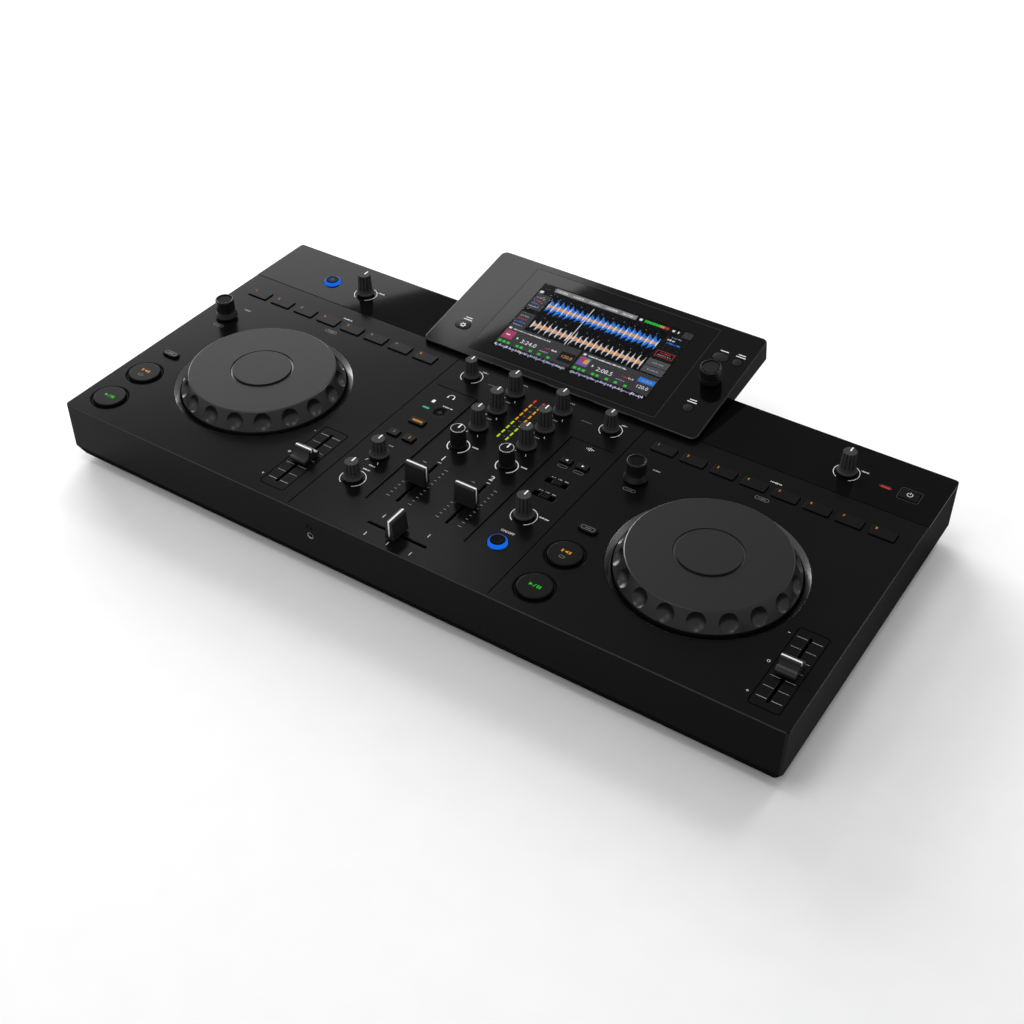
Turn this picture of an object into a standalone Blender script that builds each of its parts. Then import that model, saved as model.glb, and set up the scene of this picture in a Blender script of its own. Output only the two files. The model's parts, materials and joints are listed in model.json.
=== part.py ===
"""A two-deck DJ controller with a fixed display, built piece by piece.

The panel frame has its zero at the middle of the top panel's front edge: x to the right, y to the
back, z up. The world's zero lies under the middle of the whole controller, at the soles of its feet.
"""

import math
from collections import namedtuple

import bmesh
import bpy
from mathutils import Matrix

MM = 0.001

# Fits
CLEARANCE = 0.3 * MM
WELD = 0.001 * MM

# Roundness: length of arc that one flat piece stands for, and most pieces in a quarter turn
ARC_STEP = 1.7 * MM
MOST_SEGMENTS = 9

# Upper case
MIXER_HALF = 85.3 * MM
STRIP_DEPTH = 60.6 * MM
WALL_HEIGHT = 40.5 * MM
WALL = 3 * MM
PANEL = 3.5 * MM
CORNER_RADIUS = 3 * MM
INNER_CORNER_RADIUS = 1 * MM
TOP_EDGE = 0.6 * MM
BOSS_RADIUS = 3.2 * MM
BOSS_INSET_X = 10 * MM
BOSS_INSET_Y = 12 * MM
BOSS_INNER_GAP = 4.7 * MM
BOSS_MIDDLE_SETBACK = 10 * MM
GROOVE_WIDTH = 0.8 * MM
GROOVE_DEPTH = 0.6 * MM
DECK_GROOVE_START = 3 * MM
GROUP_GROOVE_X = 42.5 * MM
GROUP_GROOVE_START = 37.5 * MM
GROUP_GROOVE_SETBACK = 48 * MM
GROUP_GROOVE_END_GAP = 6.3 * MM

# Glossy strip
STRIP_THICKNESS = 1.5 * MM

# Lower case
BASE_DROP = 7.5 * MM
BASE_INSET = 5 * MM
BASE_FLOOR = 3 * MM
LIP_HEIGHT = 4 * MM
LIP_THICKNESS = 2 * MM
FOOT_RADIUS = 11 * MM
FOOT_TAPER = 1 * MM
FOOT_HEIGHT = 5 * MM
FOOT_INSET_X = 42 * MM
FOOT_INSET_Y = 34 * MM
SCREW_RECESS_RADIUS = 3.6 * MM
SCREW_RECESS_DEPTH = 1.6 * MM

# Decks
DECK_MARGIN = 22.9 * MM
SIDE_COLUMN_GAP = 18.45 * MM
TEMPO_COLUMN_GAP = 18.95 * MM
TEMPO_MARGIN = 22.6 * MM

# Jog wheels
JOG_Y = 105.4 * MM
WELL_GAP = 4.4 * MM
WELL_LEAN = 1.6 * MM
WELL_DEPTH = 9 * MM
WELL_FLOOR = 3 * MM
BUSH_LENGTH = 8 * MM
BUSH_WALL = 4 * MM
JOG_RADIUS = 64 * MM
JOG_CONE = 6.8 * MM
JOG_HEIGHT = 13.4 * MM
JOG_EDGE = 0.7 * MM
JOG_CONE_FOOT = 1.2 * MM
JOG_SKIRT = 6 * MM
JOG_DISC = 3 * MM
JOG_FLOOR_GAP = 1.5 * MM
JOG_HUB_RADIUS = 14 * MM
JOG_GROOVE_RADIUS = 23.8 * MM
JOG_GROOVE_WIDTH = 1.2 * MM
JOG_GROOVE_DEPTH = 0.8 * MM
SPINDLE_RADIUS = 6 * MM
DIMPLE_COUNT = 18
DIMPLE_RADIUS = 6.25 * MM
DIMPLE_DEPTH = 2.4 * MM
JOG_SEGMENTS = 36
DIMPLE_SEGMENTS = 10
DIMPLE_RINGS = 8

# Boards
BOARD_DROP = 12 * MM
BOARD_THICKNESS = 1.6 * MM
BOARD_SIDE_MARGIN = 17 * MM
BOARD_FRONT_MARGIN = 5.5 * MM
BOARD_REAR_MARGIN = 17 * MM
BOARD_WELL_MARGIN = 2 * MM
POT_HALF = 5 * MM
POT_RISE = 6.5 * MM
POT_CORNER = 0.5 * MM
WELL_LEFT_UNDER = 0.8 * MM

# Knobs: radii at the collar, at the foot of the grip and at the top, then heights above the panel
Knob = namedtuple("Knob", "collar grip top height collar_height flutes flute_depth")
EQUALISER_KNOB = Knob(7.65 * MM, 5.95 * MM, 5.15 * MM, 19.5 * MM, 3.6 * MM, 10, 0.45 * MM)
TRIM_KNOB = Knob(6.85 * MM, 4.95 * MM, 4.25 * MM, 16.5 * MM, 3.4 * MM, 10, 0.4 * MM)
HEADPHONE_KNOB = Knob(7.65 * MM, 5.95 * MM, 5.25 * MM, 15.5 * MM, 3.6 * MM, 10, 0.45 * MM)
FILTER_KNOB = Knob(6.45 * MM, 6.3 * MM, 5.55 * MM, 16.6 * MM, 2.6 * MM, 12, 0.4 * MM)
KNOB_FLOAT = 1.2 * MM
SHAFT_RADIUS = 3 * MM
SHAFT_SEGMENTS = 2

# Encoders
ENCODER_RADIUS = 8.5 * MM
ENCODER_RIM_RADIUS = 7.2 * MM
ENCODER_FOOT_RADIUS = 7.4 * MM
ENCODER_DISH_RADIUS = 6 * MM
ENCODER_DISH_DEPTH = 0.8 * MM
ENCODER_SHOULDER = 1.4 * MM
ENCODER_FOOT_HEIGHT = 6 * MM
ENCODER_FLOAT = 1.6 * MM
ENCODER_BORE_ROOF = 5 * MM
LOOP_ENCODER_HEIGHT = 18 * MM
BROWSE_ENCODER_HEIGHT = 12.8 * MM
ENCODER_SEGMENTS = 18
BROWSE_SHAFT_DEPTH = 6 * MM
ENCODER_TRAVEL = 0.8 * MM

# Faders
SLOT_WIDTH = 2.4 * MM
LEVER_LENGTH = 4 * MM
FADER_FLOAT = 1.5 * MM
FADER_CAP_WIDTH = 17 * MM
FADER_CAP_LENGTH = 8 * MM
FADER_CAP_TOP_LENGTH = 7.2 * MM
FADER_CAP_WAIST_LENGTH = 6.6 * MM
FADER_CAP_RIDGE = 2 * MM
FADER_CAP_HEIGHT = 15.8 * MM
FADER_CAP_CROWN = 1.8 * MM
FADER_CAP_CORNER = 0.6 * MM
FADER_TRAVEL = 45 * MM
TEMPO_TRAVEL = 60 * MM
TEMPO_CAP_WIDTH = 14 * MM
TEMPO_CAP_LENGTH = 17 * MM
TEMPO_CAP_HEIGHT = 9 * MM
TEMPO_RIDGE = 2.2 * MM
TEMPO_LIP_HEIGHT = 3.7 * MM
TEMPO_LIP_LENGTH = 2.4 * MM
TEMPO_EDGE = 0.8 * MM
TEMPO_FRAME_WIDTH = 21.8 * MM
TEMPO_FRAME_LENGTH = 76.9 * MM
TEMPO_FRAME_CORNER = 3 * MM
TEMPO_FRAME_GROOVE = 0.5 * MM
SLIDE_POT_HALF = 4.5 * MM
SLIDE_POT_END = 4 * MM

# Buttons: half sizes, corner radius, rise above the surface and travel
Button = namedtuple("Button", "half_x half_y corner rise travel")
DECK_BUTTON = Button(12.5 * MM, 12.5 * MM, 12.5 * MM, 3 * MM, 1 * MM)
SHIFT_BUTTON = Button(7.25 * MM, 3.25 * MM, 3.25 * MM, 2 * MM, 0.8 * MM)
MASTER_CUE_BUTTON = Button(6.5 * MM, 3.3 * MM, 0.8 * MM, 1.5 * MM, 0.8 * MM)
CHANNEL_CUE_BUTTON = Button(4.5 * MM, 3.5 * MM, 0.8 * MM, 1.5 * MM, 0.8 * MM)
BEAT_BUTTON = Button(4.5 * MM, 3.1 * MM, 0.8 * MM, 1.5 * MM, 0.8 * MM)
PAIRING_BUTTON = Button(2.6 * MM, 2.6 * MM, 2.6 * MM, -0.6 * MM, 0.6 * MM)
LIT_BUTTON = Button(7.1 * MM, 7.1 * MM, 7.1 * MM, 3 * MM, 0.8 * MM)
POWER_BUTTON = Button(6.75 * MM, 5.55 * MM, 1 * MM, 0.6 * MM, 1 * MM)
OVAL_KEY = Button(6.5 * MM, 4.5 * MM, 4.5 * MM, 0.4 * MM, 0.4 * MM)
ROUND_KEY = Button(4 * MM, 4 * MM, 4 * MM, 0.4 * MM, 0.4 * MM)
BUTTON_EDGE = 0.5 * MM
DECK_BUTTON_EDGE = 0.9 * MM
LIT_BUTTON_TOP_RADIUS = 5.5 * MM
FLANGE = 1.5 * MM
FLANGE_THICKNESS = 1.2 * MM
STEM_RADIUS = 2 * MM
DECK_BUTTON_RING = 2.3 * MM
DECK_BUTTON_RING_LEAN = 0.5 * MM
DECK_BUTTON_RING_DEPTH = 0.8 * MM
PAIRING_DISH = 1.8 * MM
PAIRING_DISH_DEPTH = 1.2 * MM
POWER_DISH = 1.4 * MM
POWER_DISH_DEPTH = 0.9 * MM
KEY_DEPTH = 3.6 * MM
PAD_COUNT = 8
PAD_PITCH = 24.6 * MM
PAD_WIDTH = 18.5 * MM
PAD_LENGTH = 10.5 * MM
PAD_CORNER = 1 * MM
PAD_RISE = 1.5 * MM
PAD_TRAVEL = 0.8 * MM
PAD_STRIP_OVERHANG = 1.8 * MM
PAD = Button(PAD_WIDTH / 2, PAD_LENGTH / 2, PAD_CORNER, PAD_RISE, PAD_TRAVEL)

# Slide switches
SWITCH_SLOT_HALF_X = 9 * MM
SWITCH_SLOT_HALF_Y = 2.5 * MM
SWITCH_SLOT_CORNER = 0.5 * MM
SWITCH_LEVER_HALF_X = 4 * MM
SWITCH_RISE = 0.8 * MM

# Places on the panel: y from the front edge, setbacks from the seam of the glossy strip
PAD_SETBACK = 23.9 * MM
LOOP_Y = 160 * MM
PLAY_Y = 24.8 * MM
CUE_Y = 63.2 * MM
SHIFT_Y = 93.5 * MM
TEMPO_Y = 48.9 * MM
CHANNEL_X = 21.5 * MM
TRIM_X = 63.3 * MM
TRIM_SETBACK = 24.9 * MM
CROSSFADER_Y = 17.3 * MM
CHANNEL_FADER_PITCH = 53.6 * MM
FILTER_PITCH = 51.7 * MM
LOW_PITCH = 26.4 * MM
EQUALISER_PITCH = 25.5 * MM
EQUALISER_SETBACK = 25.9 * MM
HEADPHONE_X = -63.8 * MM
HEADPHONE_LEVEL_Y = 49.7 * MM
HEADPHONE_MIX_Y = 81.4 * MM
CHANNEL_CUE_Y = 108.9 * MM
CHANNEL_CUE_SPACING = 14.1 * MM
MASTER_CUE_Y = 129.3 * MM
PAIRING_X = -57 * MM
PAIRING_Y = 149.2 * MM
EFFECT_X = 62.6 * MM
EFFECT_Y = 48.9 * MM
DEPTH_Y = 82.1 * MM
SWITCH_Y = 108.3 * MM
SWITCH_PITCH = 17.2 * MM
BEAT_Y = 150.6 * MM
BEAT_SPACING = 13.8 * MM

# Places on the glossy strip, from the side walls and from its seam
STRIP_ROW = 25.4 * MM
INPUT_BUTTON_INSET = 62.2 * MM
INPUT_KNOB_INSET = 98 * MM
MASTER_KNOB_INSET = 72.8 * MM
POWER_INSET = 24.3 * MM

# Display
DISPLAY_LAP = 5.9 * MM
DISPLAY_LIP = 3.7 * MM
DISPLAY_TILT = math.radians(10.2)
DISPLAY_END_MARGIN = 7.25 * MM
DISPLAY_SIDE_MARGIN = 39.2 * MM
DISPLAY_REAR_HEIGHT = 16.9 * MM
DISPLAY_REST = 59 * MM
DISPLAY_CORNER = 5.5 * MM
GLASS_WIDTH = 170.6 * MM
GLASS_LENGTH = 107.5 * MM
GLASS_THICKNESS = 1.2 * MM
GLASS_CORNER = 1 * MM
SCREEN_WIDTH = 146 * MM
SCREEN_LENGTH = 88 * MM
SCREEN_THICKNESS = 2.5 * MM
KEY_GAP = 18.1 * MM
KEY_ROW = 27.7 * MM
BACK_KEY_GAP = 14.3 * MM
TAG_KEY_GAP = 28.4 * MM
REAR_KEY_ROW = 87.9 * MM
BROWSE_GAP = 20.1 * MM
BROWSE_ROW = 60.8 * MM
PEG_RADIUS = 3 * MM
PEG_INSET = 24.5 * MM
PEG_ROWS = (12 * MM, 34 * MM)

# Sockets
HEADPHONE_SOCKET_X = -65.4 * MM
HEADPHONE_SOCKET_DROP = 20.2 * MM
HEADPHONE_BARREL_RADIUS = 3.8 * MM
HEADPHONE_BODY_RADIUS = 5.5 * MM
HEADPHONE_BODY_LENGTH = 13 * MM
PLUG_BORE_RADIUS = 1.75 * MM
PLUG_BORE_DEPTH = 12 * MM
JACK_DROP = 24 * MM
JACK_BOARD_STANDOFF = 9 * MM
JACK_BOARD_HALF_HEIGHT = 13 * MM
JACK_BOARD_MARGIN = 12 * MM
PHONO_BODY_HALF = 6 * MM
PHONO_BARREL_RADIUS = 4.15 * MM
PHONO_BARREL_LENGTH = 8.5 * MM
PHONO_BORE_RADIUS = 1.6 * MM
PHONO_BORE_DEPTH = 8 * MM
PHONO_INSETS = (126 * MM, 106 * MM)
MINI_JACK_RADIUS = 3.2 * MM
MINI_JACK_INSET = 152 * MM
USB_HALF_X = 4.47 * MM
USB_HALF_Z = 1.63 * MM
USB_CORNER = 1.6 * MM
USB_SHELL = 0.4 * MM
USB_DEPTH = 6 * MM
USB_INSET = 46 * MM

# Levels and lines that follow from the sizes above
JOG_TOP_RADIUS = JOG_RADIUS - JOG_CONE
WELL_RADIUS = JOG_RADIUS + WELL_GAP
SIDE_COLUMN = WELL_RADIUS + SIDE_COLUMN_GAP
TEMPO_COLUMN = WELL_RADIUS + TEMPO_COLUMN_GAP
DECK_X = MIXER_HALF + DECK_MARGIN + SIDE_COLUMN
HALF_WIDTH = DECK_X + TEMPO_COLUMN + TEMPO_MARGIN
CHANNEL_FADER_Y = CROSSFADER_Y + CHANNEL_FADER_PITCH
FILTER_Y = CHANNEL_FADER_Y + FILTER_PITCH
LOW_Y = FILTER_Y + LOW_PITCH
FIELD_DEPTH = LOW_Y + 2 * EQUALISER_PITCH + EQUALISER_SETBACK
CASE_DEPTH = FIELD_DEPTH + STRIP_DEPTH
BASE_TOP = -WALL_HEIGHT - CLEARANCE
BASE_BOTTOM = -WALL_HEIGHT - BASE_DROP
PANEL_HEIGHT = WALL_HEIGHT + BASE_DROP + FOOT_HEIGHT
BOARD_TOP = -BOARD_DROP
POT_TOP = BOARD_TOP + POT_RISE
POT_FLOOR = BOARD_TOP + WELL_LEFT_UNDER
SHAFT_END = POT_FLOOR + 2 * CLEARANCE
FLANGE_TOP = -PANEL - CLEARANCE
FLANGE_BOTTOM = FLANGE_TOP - FLANGE_THICKNESS
STEM_END = BOARD_TOP + 2 * FLANGE
LEVER_HALF = SLOT_WIDTH / 2 - CLEARANCE
PAD_Y = FIELD_DEPTH - PAD_SETBACK
STRIP_Y = FIELD_DEPTH + STRIP_ROW
GLASS_EDGE = GLASS_WIDTH / 2
DISPLAY_WIDTH = GLASS_WIDTH + 2 * DISPLAY_SIDE_MARGIN
DISPLAY_LENGTH = GLASS_LENGTH + 2 * DISPLAY_END_MARGIN
DISPLAY_FRONT = FIELD_DEPTH - DISPLAY_LAP
DISPLAY_REAR_TOP = DISPLAY_FRONT + DISPLAY_LENGTH * math.cos(DISPLAY_TILT)
OVERALL_DEPTH = DISPLAY_REAR_TOP + DISPLAY_REAR_HEIGHT * math.sin(DISPLAY_TILT)
SIDES = (("left", -1), ("right", 1))

Opening = namedtuple("Opening", "x y half_x half_y corner steps")


def clear_scene():
    for thing in list(bpy.data.objects):
        bpy.data.objects.remove(thing, do_unlink=True)


def material(name, colour, roughness, metallic=0.0):
    made = bpy.data.materials.new(name)
    made.use_nodes = True
    shader = made.node_tree.nodes["Principled BSDF"]
    shader.inputs["Base Color"].default_value = (*colour, 1.0)
    shader.inputs["Roughness"].default_value = roughness
    shader.inputs["Metallic"].default_value = metallic
    return made


def corner_segments(radius):
    """Arc pieces in a quarter turn: enough to look round, few enough to stay light."""
    return max(1, min(MOST_SEGMENTS, round(radius / ARC_STEP)))


def rounded_outline(half_x, half_y, corner, segments, x=0.0, y=0.0):
    """A rectangle with round corners, anticlockwise. With equal halves and corner it is a circle."""
    outline = []
    for quarter in range(4):
        side_x = 1 if quarter in (0, 3) else -1
        side_y = 1 if quarter in (0, 1) else -1
        shared = half_x - corner < WELD if quarter in (0, 2) else half_y - corner < WELD
        for step in range(segments + (0 if shared else 1)):
            angle = (quarter + step / segments) * math.pi / 2
            outline.append(
                (
                    x + side_x * (half_x - corner) + corner * math.cos(angle),
                    y + side_y * (half_y - corner) + corner * math.sin(angle),
                )
            )
    return outline


def rectangle(half_x, half_y, x=0.0, y=0.0):
    corners = ((-1, -1), (1, -1), (1, 1), (-1, 1))
    return [(x + side_x * half_x, y + side_y * half_y) for side_x, side_y in corners]


def circle(radius, segments, x=0.0, y=0.0):
    return rounded_outline(radius, radius, radius, segments, x, y)


class Skin:
    """Rings of points, joined by walls and caps into one closed mesh.

    It works in millimetres until it is done, because flat filling loses points that lie close.
    """

    def __init__(self):
        self.mesh = bmesh.new()

    def ring(self, outline, height):
        points = [self.mesh.verts.new((x / MM, y / MM, height / MM)) for x, y in outline]
        for first, second in zip(points, points[1:] + points[:1]):
            self.mesh.edges.new((first, second))
        return points

    def wall(self, *rings):
        for first, second in zip(rings, rings[1:]):
            for index in range(len(first)):
                corners = (first[index - 1], first[index], second[index], second[index - 1])
                self.mesh.faces.new(corners)

    def cap(self, *rings):
        """Fills a flat outline. Rings inside the first one are left open."""
        edges = []
        for ring in rings:
            edges += [self.mesh.edges.get(pair) for pair in zip(ring, ring[1:] + ring[:1])]
        bmesh.ops.triangle_fill(self.mesh, use_beauty=True, edges=edges)

    def column(self, outlines_and_heights, closed=True):
        """Walls through a row of outlines, each at its height, closed at the far end if asked."""
        rings = [self.ring(outline, height) for outline, height in outlines_and_heights]
        self.wall(*rings)
        if closed:
            self.cap(rings[-1])
        return rings

    def done(self):
        bmesh.ops.recalc_face_normals(self.mesh, faces=self.mesh.faces)
        bmesh.ops.scale(self.mesh, vec=(MM, MM, MM), verts=self.mesh.verts)
        return self.mesh


def turned(profile, segments):
    """A profile of (radius, height) points, from axis to axis, spun once round z."""
    mesh = bmesh.new()
    points = [mesh.verts.new((radius, 0, height)) for radius, height in profile]
    edges = [mesh.edges.new(pair) for pair in zip(points, points[1:])]
    bmesh.ops.spin(
        mesh,
        geom=points + edges,
        axis=(0, 0, 1),
        cent=(0, 0, 0),
        angle=math.tau,
        steps=segments,
        use_merge=True,
    )
    bmesh.ops.remove_doubles(mesh, verts=mesh.verts, dist=WELD)
    bmesh.ops.recalc_face_normals(mesh, faces=mesh.faces)
    return mesh


def piece(name, mesh, finish, parent, place=(0, 0, 0), turn=(0, 0, 0)):
    """A named object made from a finished mesh, on its parent."""
    data = bpy.data.meshes.new(name)
    mesh.to_mesh(data)
    mesh.free()
    data.materials.append(finish)
    data.shade_smooth()
    data.set_sharp_from_angle(angle=math.radians(35))
    made = bpy.data.objects.new(name, data)
    bpy.context.scene.collection.objects.link(made)
    made.parent = parent
    made.location = place
    made.rotation_euler = turn
    return made


def helper(name, mesh, parent, place=(0, 0, 0), turn=(0, 0, 0)):
    """A shape that only cuts or joins another piece."""
    made = piece(name, mesh, FINISHES["case"], parent, place, turn)
    made.hide_render = True
    made.display_type = "WIRE"
    return made


def combine(target, other, operation):
    change = target.modifiers.new(other.name, "BOOLEAN")
    change.operation = operation
    change.solver = "EXACT"
    change.object = other


def frame_empty(name, place, turn=(0, 0, 0), parent=None):
    made = bpy.data.objects.new(name, None)
    bpy.context.scene.collection.objects.link(made)
    made.parent = parent
    made.location = place
    made.rotation_euler = turn
    return made


def block(half_x, half_y, low, high, y=0.0):
    """A plain box as a mesh, for cutters."""
    skin = Skin()
    outline = rectangle(half_x, half_y, 0, y)
    rings = skin.column([(outline, low), (outline, high)])
    skin.cap(rings[0])
    return skin.done()


def rods(places, radius, low, high):
    """Round rods along z, side by side in one mesh, for cutters."""
    skin = Skin()
    for x, y in places:
        outline = circle(radius, corner_segments(radius), x, y)
        rings = skin.column([(outline, low), (outline, high)])
        skin.cap(rings[0])
    return skin.done()


def grown(opening, amount):
    """An opening's outline, moved outwards by an amount."""
    return rounded_outline(
        opening.half_x + amount,
        opening.half_y + amount,
        opening.corner + amount,
        corner_segments(opening.corner),
        opening.x,
        opening.y,
    )


# Where the controls sit


def panel_knobs():
    """Name, place and kind of every knob on the front field."""
    for side, sign in SIDES:
        yield f"trim_knob_{side}", sign * TRIM_X, FIELD_DEPTH - TRIM_SETBACK, TRIM_KNOB
        for step, band in enumerate(("low", "mid", "high")):
            yield f"{band}_knob_{side}", sign * CHANNEL_X, LOW_Y + step * EQUALISER_PITCH, EQUALISER_KNOB
        yield f"filter_knob_{side}", sign * CHANNEL_X, FILTER_Y, FILTER_KNOB
    yield "headphone_mix_knob", HEADPHONE_X, HEADPHONE_MIX_Y, HEADPHONE_KNOB
    yield "headphone_level_knob", HEADPHONE_X, HEADPHONE_LEVEL_Y, HEADPHONE_KNOB
    yield "effect_depth_knob", EFFECT_X, DEPTH_Y, EQUALISER_KNOB


def strip_knobs():
    yield "input_level_knob", INPUT_KNOB_INSET - HALF_WIDTH, STRIP_Y, EQUALISER_KNOB
    yield "master_level_knob", HALF_WIDTH - MASTER_KNOB_INSET, STRIP_Y, EQUALISER_KNOB


def panel_buttons():
    """Name, place and kind of every button on the front field, apart from the pads."""
    for side, sign in SIDES:
        x = sign * DECK_X - SIDE_COLUMN
        yield f"play_button_{side}", x, PLAY_Y, DECK_BUTTON
        yield f"cue_button_{side}", x, CUE_Y, DECK_BUTTON
        yield f"shift_button_{side}", x, SHIFT_Y, SHIFT_BUTTON
        cue_x = HEADPHONE_X + sign * CHANNEL_CUE_SPACING / 2
        yield f"headphone_cue_button_{side}", cue_x, CHANNEL_CUE_Y, CHANNEL_CUE_BUTTON
        beat_x = EFFECT_X + sign * BEAT_SPACING / 2
        yield f"beat_button_{side}", beat_x, BEAT_Y, BEAT_BUTTON
    yield "master_cue_button", HEADPHONE_X, MASTER_CUE_Y, MASTER_CUE_BUTTON
    yield "pairing_button", PAIRING_X, PAIRING_Y, PAIRING_BUTTON
    yield "effect_button", EFFECT_X, EFFECT_Y, LIT_BUTTON


def strip_buttons():
    yield "input_button", INPUT_BUTTON_INSET - HALF_WIDTH, STRIP_Y, LIT_BUTTON
    yield "power_button", HALF_WIDTH - POWER_INSET, STRIP_Y, POWER_BUTTON


def loop_encoders():
    for side, sign in SIDES:
        yield side, sign * DECK_X - SIDE_COLUMN, LOOP_Y


def faders():
    """Name, place, half the travel along x and y, of every fader."""
    for side, sign in SIDES:
        yield f"tempo_fader_{side}", sign * DECK_X + TEMPO_COLUMN, TEMPO_Y, 0, TEMPO_TRAVEL / 2
        yield f"channel_fader_{side}", sign * CHANNEL_X, CHANNEL_FADER_Y, 0, FADER_TRAVEL / 2
    yield "crossfader", 0, CROSSFADER_Y, FADER_TRAVEL / 2, 0


def switches():
    for step, name in enumerate(("effect_channel_switch", "effect_select_switch")):
        yield name, EFFECT_X, SWITCH_Y + step * SWITCH_PITCH


def pad_places():
    for index in range(PAD_COUNT):
        yield (index - (PAD_COUNT - 1) / 2) * PAD_PITCH


def boss_places():
    outer_x = HALF_WIDTH - BOSS_INSET_X
    inner_x = MIXER_HALF + BOSS_INNER_GAP
    for x in (-outer_x, -inner_x, inner_x, outer_x):
        for y in (BOSS_INSET_Y, FIELD_DEPTH - BOSS_MIDDLE_SETBACK, CASE_DEPTH - BOSS_INSET_Y):
            yield x, y


def peg_places():
    peg_x = DISPLAY_WIDTH / 2 - PEG_INSET
    for x in (-peg_x, peg_x):
        for row in PEG_ROWS:
            yield x, FIELD_DEPTH + row


# Openings in the top


def shaft_hole(x, y):
    radius = SHAFT_RADIUS + CLEARANCE
    return Opening(x, y, radius, radius, radius, [(0, 0), (0, -PANEL)])


def peg_hole(x, y):
    radius = PEG_RADIUS + CLEARANCE
    return Opening(x, y, radius, radius, radius, [(0, 0), (0, -PANEL)])


def button_hole(x, y, button):
    """A plain hole, or one with the sunk ring or dish that its button has."""
    steps = [(0, 0), (0, -PANEL)]
    if button is DECK_BUTTON:
        inner = DECK_BUTTON_RING - DECK_BUTTON_RING_LEAN
        steps[:1] = [(DECK_BUTTON_RING, 0), (inner, -DECK_BUTTON_RING_DEPTH), (0, -DECK_BUTTON_RING_DEPTH)]
    if button is PAIRING_BUTTON:
        steps[:1] = [(PAIRING_DISH, 0), (0, -PAIRING_DISH_DEPTH)]
    room = CLEARANCE
    return Opening(x, y, button.half_x + room, button.half_y + room, button.corner + room, steps)


def fader_slot(x, y, travel_x, travel_y):
    half_x = travel_x + LEVER_LENGTH / 2 + CLEARANCE if travel_x else SLOT_WIDTH / 2
    half_y = travel_y + LEVER_LENGTH / 2 + CLEARANCE if travel_y else SLOT_WIDTH / 2
    return Opening(x, y, half_x, half_y, POT_CORNER, [(0, 0), (0, -PANEL)])


def jog_well(x):
    """The sunk wall, floor and spindle bush that a jog wheel turns in."""
    foot = -WELL_LEAN
    bore = SPINDLE_RADIUS + CLEARANCE - WELL_RADIUS
    bush = bore + BUSH_WALL
    under = -WELL_DEPTH - WELL_FLOOR
    steps = [
        (0, 0),
        (foot, -WELL_DEPTH),
        (bore, -WELL_DEPTH),
        (bore, under - BUSH_LENGTH),
        (bush, under - BUSH_LENGTH),
        (bush, under),
        (foot + WALL, under),
        (WALL, -PANEL),
    ]
    return Opening(x, JOG_Y, WELL_RADIUS, WELL_RADIUS, WELL_RADIUS, steps)


def panel_openings():
    for _, x, y, _ in (*panel_knobs(), *strip_knobs()):
        yield shaft_hole(x, y)
    for _, x, y in loop_encoders():
        yield shaft_hole(x, y)
    for _, x, y, button in (*panel_buttons(), *strip_buttons()):
        yield button_hole(x, y, button)
    for _, x, y, travel_x, travel_y in faders():
        yield fader_slot(x, y, travel_x, travel_y)
    for _, x, y in switches():
        steps = [(0, 0), (0, -PANEL)]
        yield Opening(x, y, SWITCH_SLOT_HALF_X, SWITCH_SLOT_HALF_Y, SWITCH_SLOT_CORNER, steps)
    for _, sign in SIDES:
        yield jog_well(sign * DECK_X)
        for x in pad_places():
            yield button_hole(sign * DECK_X + x, PAD_Y, PAD)
    for x, y in peg_places():
        yield peg_hole(x, y)


def groove_outlines():
    """The shallow lines that part the decks, the mixer and its two side groups."""
    half = GROOVE_WIDTH / 2
    length = (DISPLAY_FRONT - DECK_GROOVE_START) / 2
    corner_y = FIELD_DEPTH - GROUP_GROOVE_SETBACK
    end_x = MIXER_HALF - GROUP_GROOVE_END_GAP
    for _, sign in SIDES:
        middle = (sign * MIXER_HALF, DECK_GROOVE_START + length)
        yield rounded_outline(half, length, half / 2, 1, *middle)
        yield [
            (sign * (GROUP_GROOVE_X - half), GROUP_GROOVE_START),
            (sign * (GROUP_GROOVE_X + half), GROUP_GROOVE_START),
            (sign * (GROUP_GROOVE_X + half), corner_y - half),
            (sign * end_x, corner_y - half),
            (sign * end_x, corner_y + half),
            (sign * (GROUP_GROOVE_X - half), corner_y + half),
        ]


def tempo_frames():
    """The sunk lines round the tempo faders: outline pairs, outer and inner."""
    for _, sign in SIDES:
        x = sign * DECK_X + TEMPO_COLUMN
        pair = []
        for inset in (0, TEMPO_FRAME_GROOVE):
            half_x = TEMPO_FRAME_WIDTH / 2 - inset
            half_y = TEMPO_FRAME_LENGTH / 2 - inset
            pair.append(rounded_outline(half_x, half_y, TEMPO_FRAME_CORNER - inset, 2, x, TEMPO_Y))
        yield pair


# Case


def case_outline(inset):
    corner = max(CORNER_RADIUS - inset, INNER_CORNER_RADIUS)
    return rounded_outline(HALF_WIDTH - inset, CASE_DEPTH / 2 - inset, corner, 3, 0, CASE_DEPTH / 2)


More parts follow.
